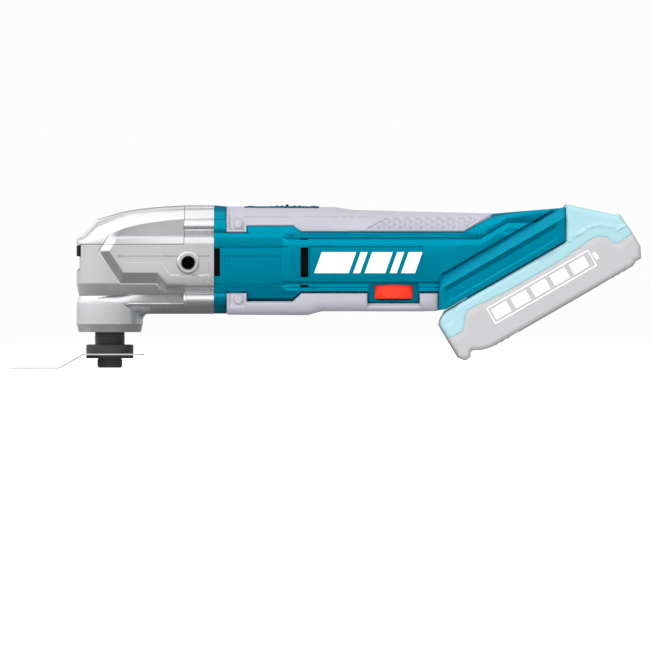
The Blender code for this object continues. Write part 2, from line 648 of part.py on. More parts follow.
def make_shell(tool, side):
    name = side_name(side)
    xs = stations(*BODY_X)
    shell = new_object(f"{name}_body_shell", side_solid(side, xs), MATERIALS["teal_plastic"], tool)
    foot = [foot_loop(x, FOOT_HALF_WIDTH, FOOT_TOP_HALF_WIDTH, 0.0, *FOOT_BAND, side) for x in FOOT_X]
    join(shell, loft(foot), f"{name}_foot")
    for index, (x0, x1) in enumerate(HOLLOWS):
        loops = [[(x, y, z) for x, y, z in whole_section(x, WALL)] for x in stations(x0, x1)]
        cut(shell, loft(loops), f"{name}_hollow_{index}")
    cut(shell, disc(MOTOR_BORE_R, 60.0, 144.0, 32), f"{name}_motor_bore", rotation=ALONG_X)
    cut(shell, disc(FAN_R + 1.5, 60.0, 69.0, 32), f"{name}_fan_bore", rotation=ALONG_X)
    rear = [(189.5, -12.0), (189.5, 24.5), (225.0, 24.3), (258.0, 26.6), (258.0, foot_z(258.0, 13.5))]
    rear += [(202.0, foot_z(202.0, 13.5))]
    cut(shell, prism(rear, -23.0, 23.0, "XZ"), f"{name}_rear_hollow")
    make_rail_opening(shell, name)
    half = PLATE_HALF + GAP
    cut(shell, box((PLATE_X[0] - GAP, PLATE_X[1] + GAP), (-half, half), (27.2, 40)), f"{name}_plate_seat")
    slot = ((SLIDER_X[0] - SLIDER_TRAVEL, SLIDER_X[1] + 1), (-4.5, 4.5), (20, 40))
    cut(shell, box(*slot), f"{name}_slider_slot")
    vents = bmesh.new()
    for outline in VENTS:
        add_prism(vents, outline, *sorted((side * 21.0, side * 40.0)), "XZ")
    cut(shell, vents, f"{name}_vents")
    posts, holes = bmesh.new(), bmesh.new()
    for place in SHELL_SCREWS:
        add_prism(posts, circle(3.6, 14, *place), *sorted((side * PARTING, side * 25.2)), "XZ")
        # The screws go in from the right, where each hole widens for its head.
        steps = ((1.6, -2.0), (1.6, 17.0), (2.7, 17.0), (2.7, 30.0)) if side > 0 else ((1.6, 2.0), (1.6, -12.0))
        add_loft(holes, [[(x, y, z) for x, z in circle(r, 14, *place)] for r, y in steps])
    join(shell, posts, f"{name}_screw_posts")
    cut(shell, holes, f"{name}_screw_holes")
    screw_holes = bmesh.new()
    for y, z in HEAD_SCREWS:
        add_prism(screw_holes, circle(2.3, 12, side * y, z), 60.0, 68.0, "YZ")
    cut(shell, screw_holes, f"{name}_head_screw_holes")
    x, y = DIAL_CENTRE
    space = prism(circle(DIAL_R + 0.8, 40, x, y), DIAL_Z[0] - 0.5, DIAL_Z[1] + 0.5)
    cut(shell, space, f"{name}_dial_space")
    for index, reach in enumerate((SWITCH_UNIT, BOARD)):
        cut(shell, box(*[(low - GAP, high + GAP) for low, high in reach]), f"{name}_rib_notch_{index}")
    if side < 0:
        pocket = ((x - 13.5, x + 13.5), (-40.0, DIAL_POCKET_Y), (-25.6, -11.6))
        cut(shell, box(*pocket), "dial_pocket")
    for grip_name, outline in GRIPS:
        pocket = side_layer(side, -4.0, GRIP_DEPTH + GAP, stations(66.5, 226.0))
        pocket = new_object(f"cut_{name}_{grip_name}_pocket", pocket, parent=tool)
        low, high = sorted((side * 60.0, side * -1.0))
        keep_inside(pocket, prism(offset_outline(outline, GAP), low, high, "XZ"), f"{name}_{grip_name}_edge")
        # The exact solver loses the whole shell here.
        boolean(shell, pocket, "DIFFERENCE", "MANIFOLD")


def make_rail_opening(shell, name):
    """The undercut channel in the foot that the pack's rail slides up, open at the back."""
    rails = new_empty(f"{name}_rail_frame", shell.parent, (FOOT_ORIGIN[0], 0, FOOT_ORIGIN[1]), (0, -PACK_TILT, 0))
    neck, head = RAIL_NECK_HALF + 0.5, RAIL_HEAD_HALF + 0.5
    outline = [(-neck, -3.0), (neck, -3.0), (neck, RAIL_STEP - 0.5), (head, RAIL_STEP - 0.5)]
    outline += [(head, RAIL_TOP + 1.0), (-head, RAIL_TOP + 1.0), (-head, RAIL_STEP - 0.5), (-neck, RAIL_STEP - 0.5)]
    cut(shell, prism(outline, 2.5, 110.0, "YZ"), f"{name}_rail_channel", parent=rails)


def make_grips(tool, side):
    name = side_name(side)
    for grip_name, outline in GRIPS:
        layer = side_layer(side, 0.0, GRIP_DEPTH, stations(66.5, 226.0))
        grip = new_object(f"{grip_name}_{name}", layer, MATERIALS["grey_rubber"], tool)
        low, high = sorted((side * 60.0, side * -1.0))
        keep_inside(grip, prism(outline, low, high, "XZ"), f"{grip_name}_{name}_edge")
        if grip_name == "upper_grip":
            half = PLATE_HALF + GAP
            cut(grip, box((PLATE_X[0] - GAP, PLATE_X[1] + GAP), (-half, half), (25, 40)), f"{grip_name}_{name}_gap")


def make_screws(tool):
    """Pan-head screws: four along X hold the head, four along Y close the shells."""
    profile = [(0, 0), (3.4, 0), (3.4, 1.2), (2.6, 2.2), (0, 2.2)]
    shank = [(0, -19.0), (2.0, -19.0), (2.0, 0.0)]
    index = 0
    for y, z in HEAD_SCREWS:
        for side in (-1, 1):
            index += 1
            screw = turned(shank + profile[1:], 16)
            new_object(f"head_screw_{index}", screw, MATERIALS["bright_steel"], tool, (67.4, side * y, z), ALONG_X)
    thin = [(0, -26.0), (1.3, -26.0), (1.3, 0.0), (2.4, 0.0), (2.4, 1.3), (1.8, 2.0), (0, 2.0)]
    for index, (x, z) in enumerate(SHELL_SCREWS):
        screw = turned(thin, 14)
        new_object(f"shell_screw_{index + 1}", screw, MATERIALS["bright_steel"], tool, (x, 17.4, z), ALONG_Y)


# ---------------------------------------------------------------- controls and electrics


def make_controls(tool):
    top = 31.3
    plate = box(PLATE_X, (-PLATE_HALF, PLATE_HALF), (27.6, top))
    plate = new_object("switch_plate", plate, MATERIALS["teal_plastic"], tool)
    opening = ((SLIDER_X[0] - SLIDER_TRAVEL - 0.6, SLIDER_X[1] + 0.6), (-7.4, 7.4), (29.2, 40))
    cut(plate, box(*opening), "slider_track")
    slot = ((SLIDER_X[0] - SLIDER_TRAVEL, SLIDER_X[1] - 8), (-3.6, 3.6), (20, 40))
    cut(plate, box(*slot), "slider_stem_slot")

    axis = new_empty("switch_axis", tool, (104.0, 0, 30.0))
    x0, x1 = SLIDER_X[0] - 104.0, SLIDER_X[1] - 104.0
    slider = new_object("switch_slider", box((x0, x1), (-7.0, 7.0), (-0.5, 1.2)), MATERIALS["black_plastic"], axis)
    ridge = [(-3.8, 0.6), (3.9, 0.6), (2.8, 2.8), (-2.7, 2.8)]
    join(slider, prism(ridge, -6.0, 6.0, "XZ"), "slider_ridge")
    join(slider, box((x0 + 2, x0 + 8), (-3.2, 3.2), (-5.0, 0.5)), "slider_stem")
    link = box((x0 + 3, 57.0), (-1.6, 1.6), (-7.2, -5.3))
    link = new_object("switch_link", link, MATERIALS["black_plastic"], axis)
    join(link, box((51.5, 56.8), (-1.6, 1.6), (-12.0, -6.0)), "link_foot")

    unit = new_object("switch_unit", box(*SWITCH_UNIT), MATERIALS["black_plastic"], tool)
    cut(unit, box((153.0, 165.0), (-2.4, 2.4), (17.6, 30.0)), "switch_groove")

    x, y = DIAL_CENTRE
    dial_axis = new_empty("dial_axis", tool, (x, y, 0))
    low, high = DIAL_Z
    profile = [
        (3.0 + GAP, low + 1), (DIAL_R - 3.5, low + 1), (DIAL_R - 3.0, low), (DIAL_R - 0.6, low), (DIAL_R, low + 0.6),
        (DIAL_R, high - 0.6), (DIAL_R - 0.6, high), (DIAL_R - 3.0, high), (DIAL_R - 3.5, high - 4), (3.0 + GAP, high - 4),
    ]
    new_object("speed_dial", turned(profile, 48), MATERIALS["orange_plastic"], dial_axis)
    profile = [(0, low - 1.5), (3.0, low - 1.5), (3.0, high - 3.0), (6.5, high - 3.0), (6.5, high + 1.6)]
    under_board = BOARD[2][0] - GAP
    pot = turned(profile + [(3.0, high + 1.6), (3.0, under_board), (0, under_board)], 20)
    new_object("speed_potentiometer", pot, MATERIALS["black_plastic"], tool, (x, y, 0))

    board = new_object("control_board", box(*BOARD), MATERIALS["circuit_board"], tool)
    parts = bmesh.new()
    for bx, by, size, tall in ((161, -4, 4, 7), (168.4, -3, 3, 5), (181, 3, 3, 4), (165, 9, 4, 6)):
        add_box(parts, (bx - size, bx + size), (by - size, by + size), (0.0, tall))
    join(board, parts, "board_components")


# ---------------------------------------------------------------- battery pack

PACK_TOP = -0.4  # the deck stays this far under the tool's foot
PACK_SIDE = [
    (-8.4, -5.3), (-2.0, PACK_TOP), (79.6, PACK_TOP), (90.6, 19.0), (112.0, -2.4), (114.4, -1.8), (116.4, -21.9),
    (112.4, -30.0), (109.6, -31.3), (6.3, -31.0), (-0.5, -28.3), (-2.8, -31.4), (-7.0, -31.0), (-8.4, -27.6),
]
PACK_LINE = [
    (-30.0, -16.0), (1.6, -16.0), (4.4, -12.0), (7.6, -7.2), (93.6, -7.2), (101.0, -10.6), (103.8, -16.6),
    (108.0, -16.6), (110.6, -15.4), (140.0, -15.4),
]
PACK_INSIDE = [
    (-5.6, -7.5), (0.5, -3.2), (80.0, -3.2), (108.5, -3.2), (112.2, -21.0), (107.0, -28.2), (8.0, -28.2), (-5.6, -25.4),
]


def pack_solid(name, material, pack):
    """The pack's outer form: its side outline, with the corners rounded as seen from above."""
    case = new_object(name, prism(PACK_SIDE, -PACK_HALF_WIDTH, PACK_HALF_WIDTH, "XZ"), material, pack)
    x0, x1, half, r = -8.6, 116.6, PACK_HALF_WIDTH - 0.02, 7.0
    plan = arc(x1 - r, half - r, r, 0, 90, 5) + arc(x0 + r, half - r, r, 90, 180, 5)
    plan += arc(x0 + r, -half + r, r, 180, 270, 5) + arc(x1 - r, -half + r, r, 270, 360, 5)
    return keep_inside(case, prism(plan, -60, 60), f"{name}_corners")


def below_line(shift):
    return [(-30.0, -60.0)] + [(x, z + shift) for x, z in PACK_LINE] + [(140.0, -60.0)]


def above_line(shift):
    return [(-30.0, 60.0)] + [(x, z + shift) for x, z in PACK_LINE] + [(140.0, 60.0)]


def make_pack(pack):
    upper = pack_solid("battery_upper_case", MATERIALS["pale_cyan_plastic"], pack)
    hollow_half = PACK_HALF_WIDTH - PACK_WALL
    cut(upper, prism(PACK_INSIDE, -hollow_half, hollow_half, "XZ"), "upper_case_hollow")
    keep_inside(upper, prism(above_line(GAP / 2), -50, 50, "XZ"), "upper_case_half")
    neck, head = RAIL_NECK_HALF, RAIL_HEAD_HALF
    outline = [(-neck, -2.0), (neck, -2.0), (neck, RAIL_STEP), (head, RAIL_STEP), (head, RAIL_TOP), (-head, RAIL_TOP)]
    outline += [(-head, RAIL_STEP), (-neck, RAIL_STEP)]
    join(upper, prism(outline, *RAIL_X, "YZ"), "rail")
    slots = bmesh.new()
    for y in (-13.0, 13.0):
        add_box(slots, (RAIL_X[0] - 2, RAIL_X[0] + 12), (y - 1.4, y + 1.4), (1.5, RAIL_TOP + 2))
    cut(upper, slots, "terminal_slots")
    cut(upper, box((RAIL_X[0] + 20, 74.0), (-16.0, 16.0), (-6.0, 7.4)), "rail_hollow")
    make_latch_opening(upper)

    lower = pack_solid("battery_lower_case", MATERIALS["pale_grey_plastic"], pack)
    cut(lower, prism(PACK_INSIDE, -hollow_half, hollow_half, "XZ"), "lower_case_hollow")
    keep_inside(lower, prism(below_line(-GAP / 2), -50, 50, "XZ"), "lower_case_half")
    cradles, cell_bores = bmesh.new(), bmesh.new()
    for y in (-20.0, 20.0):
        add_box(cradles, (1.0, 105.0), (y - 1.0, y + 1.0), (-29.0, -20.0))
    for i in range(5):
        x = CELL_FIRST[0] + i * CELL_PITCH
        add_prism(cell_bores, circle(CELL_R + GAP, 24, x, CELL_FIRST[1]), -24.0, 24.0, "XZ")
    join(lower, cradles, "cell_cradles")
    cut(lower, cell_bores, "cell_bores")

    for i in range(5):
        x, z = CELL_FIRST[0] + i * CELL_PITCH, CELL_FIRST[1]
        profile = [(0, -CELL_HALF), (CELL_R, -CELL_HALF), (CELL_R, CELL_HALF - 2), (CELL_R - 1, CELL_HALF - 1.4)]
        profile += [(3.0, CELL_HALF - 1.4), (3.0, CELL_HALF), (0, CELL_HALF)]
        turn = ALONG_Y if i % 2 else (math.radians(90), 0, 0)
        new_object(f"battery_cell_{i + 1}", turned(profile, 24), MATERIALS["cell_wrap"], pack, (x, 0, z), turn)
    board = box((6.0, 70.0), (-28.0, 28.0), (-9.2, -7.6))
    new_object("battery_board", board, MATERIALS["circuit_board"], pack)


def make_latch_opening(upper):
    """The well in the pack's hump that the release button sinks into."""
    well = prism(latch_outline(0.5), -LATCH_HALF - 0.5, LATCH_HALF + 0.5, "XZ")
    cut(upper, well, "latch_well")


def latch_outline(grow):
    """The button in side view, or with grow the well round it, which runs on below and above."""
    slope = (-2.4 - 19.0) / (112.0 - 90.6)
    x0, x1 = LATCH_X[0] - grow, LATCH_X[1] + grow
    base = LATCH_BASE_Z - (LATCH_TRAVEL + 0.5 if grow else 0.0)
    proud = 6.0 if grow else LATCH_PROUD
    return [(x0, base), (x1, base)] + [(x, 19.0 + slope * (x - 90.6) + proud) for x in (x1, x0)]


def make_latch(pack):
    axis = new_empty("latch_axis", pack, (97.0, 0, 0))
    outline = [(x - 97.0, z) for x, z in latch_outline(0)]
    latch = new_object("battery_latch", prism(outline, -LATCH_HALF, LATCH_HALF, "XZ"), MATERIALS["pale_grey_plastic"], axis)
    cut(latch, prism(circle(4.0, 16), -6.0, 8.2), "spring_pocket")
    turns, per_turn, r, wire = 3.5, 12, 3.0, 0.45
    steps = int(turns * per_turn)
    spine = bpy.data.curves.new("latch_spring", "CURVE")
    spine.dimensions = "3D"
    spine.bevel_depth = wire * MM
    spine.bevel_resolution = 0
    spine.use_fill_caps = True
    spline = spine.splines.new("POLY")
    spline.points.add(steps)
    for i in range(steps + 1):
        a = math.tau * i / per_turn
        z = 1.2 + 6.2 * i / steps
        spline.points[i].co = (r * math.cos(a) * MM, r * math.sin(a) * MM, z * MM, 1)
    spring = bpy.data.objects.new("latch_spring", spine)
    bpy.context.scene.collection.objects.link(spring)
    spine.materials.append(MATERIALS["bright_steel"])
    spring.parent = axis


def make_terminals(tool):
    """The block in the foot's nose, and the two blades that enter the pack's slots."""
    frame = new_empty("terminal_frame", tool, (FOOT_ORIGIN[0], 0, FOOT_ORIGIN[1]), (0, -PACK_TILT, 0))
    block = box((3.0, 10.0), (-20.0, 20.0), (0.6, RAIL_TOP + 0.4))
    block = new_object("terminal_block", block, MATERIALS["black_plastic"], frame)
    slits = bmesh.new()
    for y in (-13.0, 13.0):
        add_box(slits, (1.0, 12.0), (y - 0.8, y + 0.8), (2.5, RAIL_TOP - 0.6))
    cut(block, slits, "blade_slits")
    for name, y in (("contact_negative", -13.0), ("contact_positive", 13.0)):
        blade = box((3.4, RAIL_X[0] + 10.0), (y - 0.4, y + 0.4), (3.0, RAIL_TOP - 1.2))
        new_object(name, blade, MATERIALS["copper"], frame)


# ---------------------------------------------------------------- assembly


def main():
    for obj in list(bpy.data.objects):
        bpy.data.objects.remove(obj)
    make_materials()
    tilt = Vector((math.cos(PACK_TILT), math.sin(PACK_TILT)))
    back_x = max(FOOT_ORIGIN[0] + x * tilt.x - z * tilt.y for x, z in PACK_SIDE)
    middle = (back_x + BLADE_X[0]) / 2
    floor = BLADE_TOP_Z - BLADE_THICK - BLADE_DROP
    tool = new_empty("tool_frame", location=(-middle, 0, -floor))
    spindle_axis = new_empty("spindle_axis", tool)
    rotor_axis = new_empty("rotor_axis", tool, rotation=ALONG_X)
    pack = new_empty("pack_frame", tool, (FOOT_ORIGIN[0], 0, FOOT_ORIGIN[1]), (0, -PACK_TILT, 0))
    make_spindle(spindle_axis)
    make_accessory(spindle_axis)
    make_fork(spindle_axis)
    make_rotor(rotor_axis)
    make_motor(tool)
    make_head(tool)
    for side in (-1, 1):
        make_shell(tool, side)
        make_grips(tool, side)
    make_screws(tool)
    make_controls(tool)
    make_terminals(tool)
    make_pack(pack)
    make_latch(pack)


main()
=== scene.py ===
"""Looks for the cordless oscillating multi-tool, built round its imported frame.

Lengths are in millimetres in the tool's own frame: X back from the spindle axis, Y to the tool's right,
Z up from the motor axis. The pack has its own frame, tilted TILT, with X out along the slide.
"""

import json
import math

import bmesh
import bpy
import numpy as np
from mathutils import Matrix, Vector


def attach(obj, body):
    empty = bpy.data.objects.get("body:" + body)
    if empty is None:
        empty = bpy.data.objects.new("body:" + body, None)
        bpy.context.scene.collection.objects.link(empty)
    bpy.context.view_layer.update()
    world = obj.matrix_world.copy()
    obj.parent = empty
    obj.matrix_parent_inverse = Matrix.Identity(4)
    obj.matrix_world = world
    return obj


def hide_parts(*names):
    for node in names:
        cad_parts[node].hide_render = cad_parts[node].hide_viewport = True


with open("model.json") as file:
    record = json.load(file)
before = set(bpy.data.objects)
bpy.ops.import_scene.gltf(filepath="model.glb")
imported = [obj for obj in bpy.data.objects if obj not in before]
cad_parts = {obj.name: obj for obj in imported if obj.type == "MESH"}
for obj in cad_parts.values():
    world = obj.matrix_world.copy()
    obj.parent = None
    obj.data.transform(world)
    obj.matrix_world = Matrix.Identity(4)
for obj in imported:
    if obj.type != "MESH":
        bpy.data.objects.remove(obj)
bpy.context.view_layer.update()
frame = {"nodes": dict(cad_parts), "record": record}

MM = 0.001
RECORD = frame["record"]
JOINTS = {joint["name"]: joint for joint in RECORD["behaviour"]["joints"]}
ORIGIN = Vector(JOINTS["spindle_oscillation"]["pos_m"])
TILT = math.radians(30)
FOOT = (195.8, -28.5)  # X and Z where the foot's underside starts
TO_TOOL = Matrix.Rotation(-TILT, 4, "Y")
TO_TOOL.translation = (FOOT[0], 0, FOOT[1])
IDENTITY = Matrix.Identity(4)


# ---------------------------------------------------------------- outlines and reliefs in side view


def table(points, x):
    return np.interp(x, [p[0] for p in points], [p[1] for p in points])


def smooth(x):
    x = np.clip(x, 0, 1)
    return x * x * (3 - 2 * x)


def segments(line):
    return list(zip(line, line[1:]))


def segment_distance(start, end, x, z):
    ex, ez = end[0] - start[0], end[1] - start[1]
    t = np.clip(((x - start[0]) * ex + (z - start[1]) * ez) / (ex * ex + ez * ez), 0, 1)
    return np.hypot(x - start[0] - t * ex, z - start[1] - t * ez)


def reach(outline, x, z):
    """How far each (x, z) is inside the outline: negative outside."""
    best, odd = np.full(np.shape(x), 1e9), np.zeros(np.shape(x), bool)
    for (x0, z0), (x1, z1) in zip(outline, outline[1:] + outline[:1]):
        best = np.minimum(best, segment_distance((x0, z0), (x1, z1), x, z))
        crosses = (z0 > z) != (z1 > z)
        odd ^= crosses & (x < x0 + (x1 - x0) * (z - z0) / ((z1 - z0) or 1e-9))
    return np.where(odd, best, -best)


def line_side(start, end, x, z):
    """Distance from an endless line, positive on its left as seen going from start to end."""
    ex, ez = end[0] - start[0], end[1] - start[1]
    return (ex * (z - start[1]) - ez * (x - start[0])) / math.hypot(ex, ez)


def grown(outline, distance):
    """The outline moved outwards by distance, or inwards if it is negative, with mitred corners."""
    area = sum(a[0] * b[1] - b[0] * a[1] for a, b in zip(outline, outline[1:] + outline[:1]))
    side = 1 if area > 0 else -1
    moved = []
    for before, here, after in zip(outline[-1:] + outline[:-1], outline, outline[1:] + outline[:1]):
        first = (Vector(here) - Vector(before)).normalized()
        second = (Vector(after) - Vector(here)).normalized()
        n1, n2 = Vector((first.y, -first.x)) * side, Vector((second.y, -second.x)) * side
        moved.append(tuple(Vector(here) + (n1 + n2) * distance / max(0.3, 1 + n1.dot(n2))))
    return moved


def rect(x0, x1, z0, z1):
    return [(x0, z0), (x1, z0), (x1, z1), (x0, z1)]


def arc(cx, cy, r, start, end, steps):
    angles = [math.radians(start + (end - start) * i / steps) for i in range(steps + 1)]
    return [(cx + r * math.cos(a), cy + r * math.sin(a)) for a in angles]


def circle(r, count=48, cx=0.0, cy=0.0):
    return arc(cx, cy, r, 0, 360 - 360 / count, count - 1)


def rounded(x0, x1, z0, z1, r, steps=4):
    corners = ((x1 - r, z1 - r, 0), (x0 + r, z1 - r, 90), (x0 + r, z0 + r, 180), (x1 - r, z0 + r, 270))
    return [p for cx, cz, a in corners for p in arc(cx, cz, r, a, a + 90, steps)]


class Relief:
    """Heights added along a surface's normal, and the lines in side view where its mesh is cut."""

    def __init__(self):
        self.heights, self.lines = [], []

    def step(self, outline, height, ramp):
        """Raises (or with a negative height sinks) all inside the outline, over a ramp inside its edge."""
        self.heights.append(lambda x, z: height * np.clip(reach(outline, x, z) / ramp, 0, 1))
        self.lines += [outline, grown(outline, -ramp)]

    def profile(self, x0, x1, points, ramp):
        """A height that follows Z, between x0 and x1, faded in and out over the ramp."""
        points = sorted(points)

        def height(x, z):
            fade = np.clip((x - x0) / ramp, 0, 1) * np.clip((x1 - x) / ramp, 0, 1)
            return fade * table(points, z)

        self.heights.append(height)
        for z, _ in points:
            self.lines.append([(x0, z), (x1, z)])

    def bump(self, x0, x1, z0, z1, height):
        """A half-round rib along X."""
        middle, half = (z0 + z1) / 2, (z1 - z0) / 2

        def lift(x, z):
            across = np.clip(1 - ((z - middle) / half) ** 2, 0, 1)
            return height * np.sqrt(across) * ((x >= x0 - 0.01) & (x <= x1 + 0.01))

        self.heights.append(lift)
        self.lines += [[(x0, z0), (x0, z1)], [(x1, z0), (x1, z1)]]
        self.strips(x0, x1, middle, half, (-1, -0.97, -0.85, -0.6, 0, 0.6, 0.85, 0.97, 1))

    def flute(self, x0, x1, z0, z1, depth, tip):
        """A hollow along X with a ledge over it, narrowing to a point over its first tip millimetres.

        In front it is a wedge that deepens upwards, which fades into the hollow further back.
        """
        middle, half = (z0 + z1) / 2, (z1 - z0) / 2
        wedge_depth, ledge = 2.5, 0.7

        def sink(x, z):
            share = np.sqrt(np.clip((x - x0) / tip, 0, 1))
            off = (z - middle) / np.maximum(half * share, 1e-6)
            up, lip = np.clip((off + 1) / 2, 0, 1), np.clip((1 - off) / 0.1, 0, 1)
            wedge = wedge_depth * up**1.5 * lip
            hollow = depth * (1 - off * off) + ledge * lip
            inside = (np.abs(off) < 1) & (x > x0) & (x <= x1 + 0.01)
            back = smooth((x - 4) / 20)
            return -(wedge * (1 - back) + hollow * back) * share * inside

        self.heights.append(sink)
        self.lines.append([(x1, z0), (x1, z1)])
        edge = [(x0 + tip * t * t, half * t) for t in (0.1, 0.3, 0.5, 0.7, 0.85, 1)] + [(x1, half)]
        for side in (-1, 1):
            self.lines += segments([(x, middle + side * h) for x, h in edge])
        self.strips(x0, x1, middle, half, (-0.6, 0, 0.6, 0.8, 0.9))

    def strips(self, x0, x1, middle, half, shares):
        self.lines += [[(x0, middle + half * share), (x1, middle + half * share)] for share in shares]

    def add(self, height, *lines):
        self.heights.append(height)
        self.lines += list(lines)

    def at(self, x, z):
        return sum((height(x, z) for height in self.heights), np.zeros(np.shape(x)))


# ---------------------------------------------------------------- meshes


def quarter(width, height, power, steps):
    """Even points round a quarter of a squared ellipse, from (0, height) to (width, 0)."""
    corner = 2 ** (-1 / power)
    a, b = np.linspace(0, corner, 200), np.linspace(corner, 0, 200)[1:]
    y = width * np.concatenate([a, (1 - b**power) ** (1 / power)])
    z = height * np.concatenate([(1 - a**power) ** (1 / power), b])
    run = np.concatenate([[0], np.cumsum(np.hypot(np.diff(y), np.diff(z)))])
    even = np.linspace(0, run[-1], steps + 1)
    return np.interp(even, run, y), np.interp(even, run, z)


def loft_half(xs, shape, up, down):
    """Rows of points on the left side, from shape(x), which gives what form(x) gives."""
    rows = []
    for x in xs:
        width, top, middle, low, above, below = shape(x)
        y1, z1 = quarter(max(width, 1e-3), top - middle, above, up)
        y2, z2 = quarter(max(width, 1e-3), low - middle, below, down)
        y, z = np.concatenate([y1, y2[::-1][1:]]), middle + np.concatenate([z1, z2[::-1][1:]])
        rows.append(np.column_stack([np.full(len(y), x), -y, z]))
    return np.array(rows)


def grid_mesh(rows):
    bm = bmesh.new()
    verts = [[bm.verts.new(p) for p in row] for row in rows]
    for first, second in zip(verts, verts[1:]):
        for a, b, c, d in zip(first, first[1:], second[1:], second):
            bm.faces.new((a, b, c, d))
    bmesh.ops.remove_doubles(bm, verts=bm.verts, dist=1e-4)
    return bm


def centres(faces):
    return np.array([f.calc_center_median() for f in faces])


def near_segment(at, start, end, near):
    return segment_distance(start, end, at[:, 0], at[:, 2]) < near


def score(bm, lines, near=1.3):
    """Cuts the mesh along lines in side view, so that edges of a relief fall on edges of the mesh."""
    for line in lines:
        pairs = list(zip(line, line[1:] + line[:1] if len(line) > 2 else line[1:]))
        pairs = [(a, b) for a, b in pairs if math.dist(a, b) > 0.05]
        pool = list(bm.faces)
        at = centres(pool)
        chosen = np.any([near_segment(at, a, b, near + 1.0) for a, b in pairs], axis=0)
        pool = [pool[i] for i in np.nonzero(chosen)[0]]
        for a, b in pairs:
            if not pool:
                break
            close = [pool[i] for i in np.nonzero(near_segment(centres(pool), a, b, near))[0]]
            if not close:
                continue
            edges = dict.fromkeys(e for f in close for e in f.edges)
            verts = dict.fromkeys(v for f in close for v in f.verts)
            cut = bmesh.ops.bisect_plane(
                bm,
                geom=[*verts, *edges, *close],
                dist=1e-3,
                plane_co=(a[0], 0, a[1]),
                plane_no=(a[1] - b[1], 0, b[0] - a[0]),
            )
            fresh = [g for g in cut["geom"] if isinstance(g, bmesh.types.BMFace)]
            pool = list(dict.fromkeys([f for f in pool if f.is_valid] + fresh))


def trim(bm, keep):
    """Removes the faces whose middle isn't kept."""
    faces = list(bm.faces)
    at = centres(faces)
    kept = keep(at[:, 0], at[:, 2])
    bmesh.ops.delete(bm, geom=[f for f, k in zip(faces, kept) if not k], context="FACES")


def from_axis(at):
    """Outwards, roughly, from the middle of the tool."""
    middle = np.column_stack([np.clip(at[:, 0], 0, 250), np.zeros(len(at)), np.zeros(len(at))])
    return at - middle


def raise_skin(bm, relief, lip, weld=False, sided=False):
    """Moves a left half along its normals by the relief and turns its open edges in by lip.

    With weld set, its edges on the middle plane stay open. With sided set, only what faces sideways moves.
    """
    bmesh.ops.remove_doubles(bm, verts=bm.verts, dist=0.07)
    bm.normal_update()
    verts = list(bm.verts)
    at = np.array([v.co for v in verts])
    normal = np.array([sum((f.normal * f.calc_area() for f in v.link_faces), Vector()) for v in verts])
    normal /= np.maximum(np.linalg.norm(normal, axis=1, keepdims=True), 1e-12)
    if (normal * from_axis(at)).sum() < 0:
        bmesh.ops.reverse_faces(bm, faces=bm.faces)
        normal = -normal
    middle = at[:, 1] > -0.02
    normal[middle, 1] = 0
    normal /= np.maximum(np.linalg.norm(normal, axis=1, keepdims=True), 1e-9)
    height = relief(at[:, 0], at[:, 2], at[:, 1])
    if sided:
        height = height * np.clip((np.abs(normal[:, 1]) - 0.12) / 0.3, 0, 1)
    moved = at + normal * height[:, None]
    moved[middle, 1] = at[middle, 1]
    place = {tuple(np.round(v.co, 4)): (moved[i], normal[i]) for i, v in enumerate(verts)}
    rim = [e for e in bm.edges if e.is_boundary and not (weld and all(v.co.y > -0.02 for v in e.verts))]
    for e in rim:
        e.smooth = False
    made = bmesh.ops.extrude_edge_only(bm, edges=rim)["geom"]
    for v in [g for g in made if isinstance(g, bmesh.types.BMVert)]:
        here, outward = place[tuple(np.round(v.co, 4))]
        v.co = here - outward * lip
        v.tag = True
    for v, here in zip(verts, moved):
        if not v.tag:
            v.co = here
    return bm


def mirrored(bm, weld):
    """The same mesh on the other side, or both sides as one where weld is set."""
    copy = bm.copy()
    bmesh.ops.scale(copy, vec=(1, -1, 1), verts=copy.verts)
    bmesh.ops.reverse_faces(copy, faces=copy.faces)
    if not weld:
        return copy
    mesh = bpy.data.meshes.new("half")
    copy.to_mesh(mesh)
    copy.free()
    bm.from_mesh(mesh)
    bpy.data.meshes.remove(mesh)
    bmesh.ops.remove_doubles(bm, verts=[v for v in bm.verts if abs(v.co.y) < 0.03], dist=0.07)
    return bm


def piece(name, bm, material, body, replaced="", at=IDENTITY, sharp=35.0, bevel=0.0, skin=False):
    """A finished object from a bmesh in millimetres, riding on a body of the frame.

    It stands for the CAD material that its finish belongs to, unless slot names another one. A skin keeps
    A skin keeps the way its faces look, and is shaded by the area of its faces.
    """
    if not skin:
        bmesh.ops.recalc_face_normals(bm, faces=bm.faces)
    bm.transform(at)
    bmesh.ops.scale(bm, vec=(MM, MM, MM), verts=bm.verts)
    bmesh.ops.translate(bm, vec=ORIGIN, verts=bm.verts)
    mesh = bpy.data.meshes.new(name)
    bm.to_mesh(mesh)
    bm.free()
    mesh.shade_smooth()
    mesh.set_sharp_from_angle(angle=math.radians(sharp))
    mesh.materials.append(material)
    obj = bpy.data.objects.new(name, mesh)
    bpy.context.scene.collection.objects.link(obj)
    if bevel:
        modifier = obj.modifiers.new("soft_edges", "BEVEL")
        modifier.width = bevel * MM
        modifier.segments = 3
        modifier.limit_method = "ANGLE"
        modifier.angle_limit = math.radians(32)
        modifier.harden_normals = True
    if skin:
        obj.modifiers.new("even_shading", "WEIGHTED_NORMAL").keep_sharp = True
    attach(obj, body)
    if replaced:
        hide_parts(replaced)


PLANES = {"XY": (0, 1, 2), "XZ": (0, 2, 1), "YZ": (2, 0, 1)}  # which of (across, up, depth) are X, Y and Z


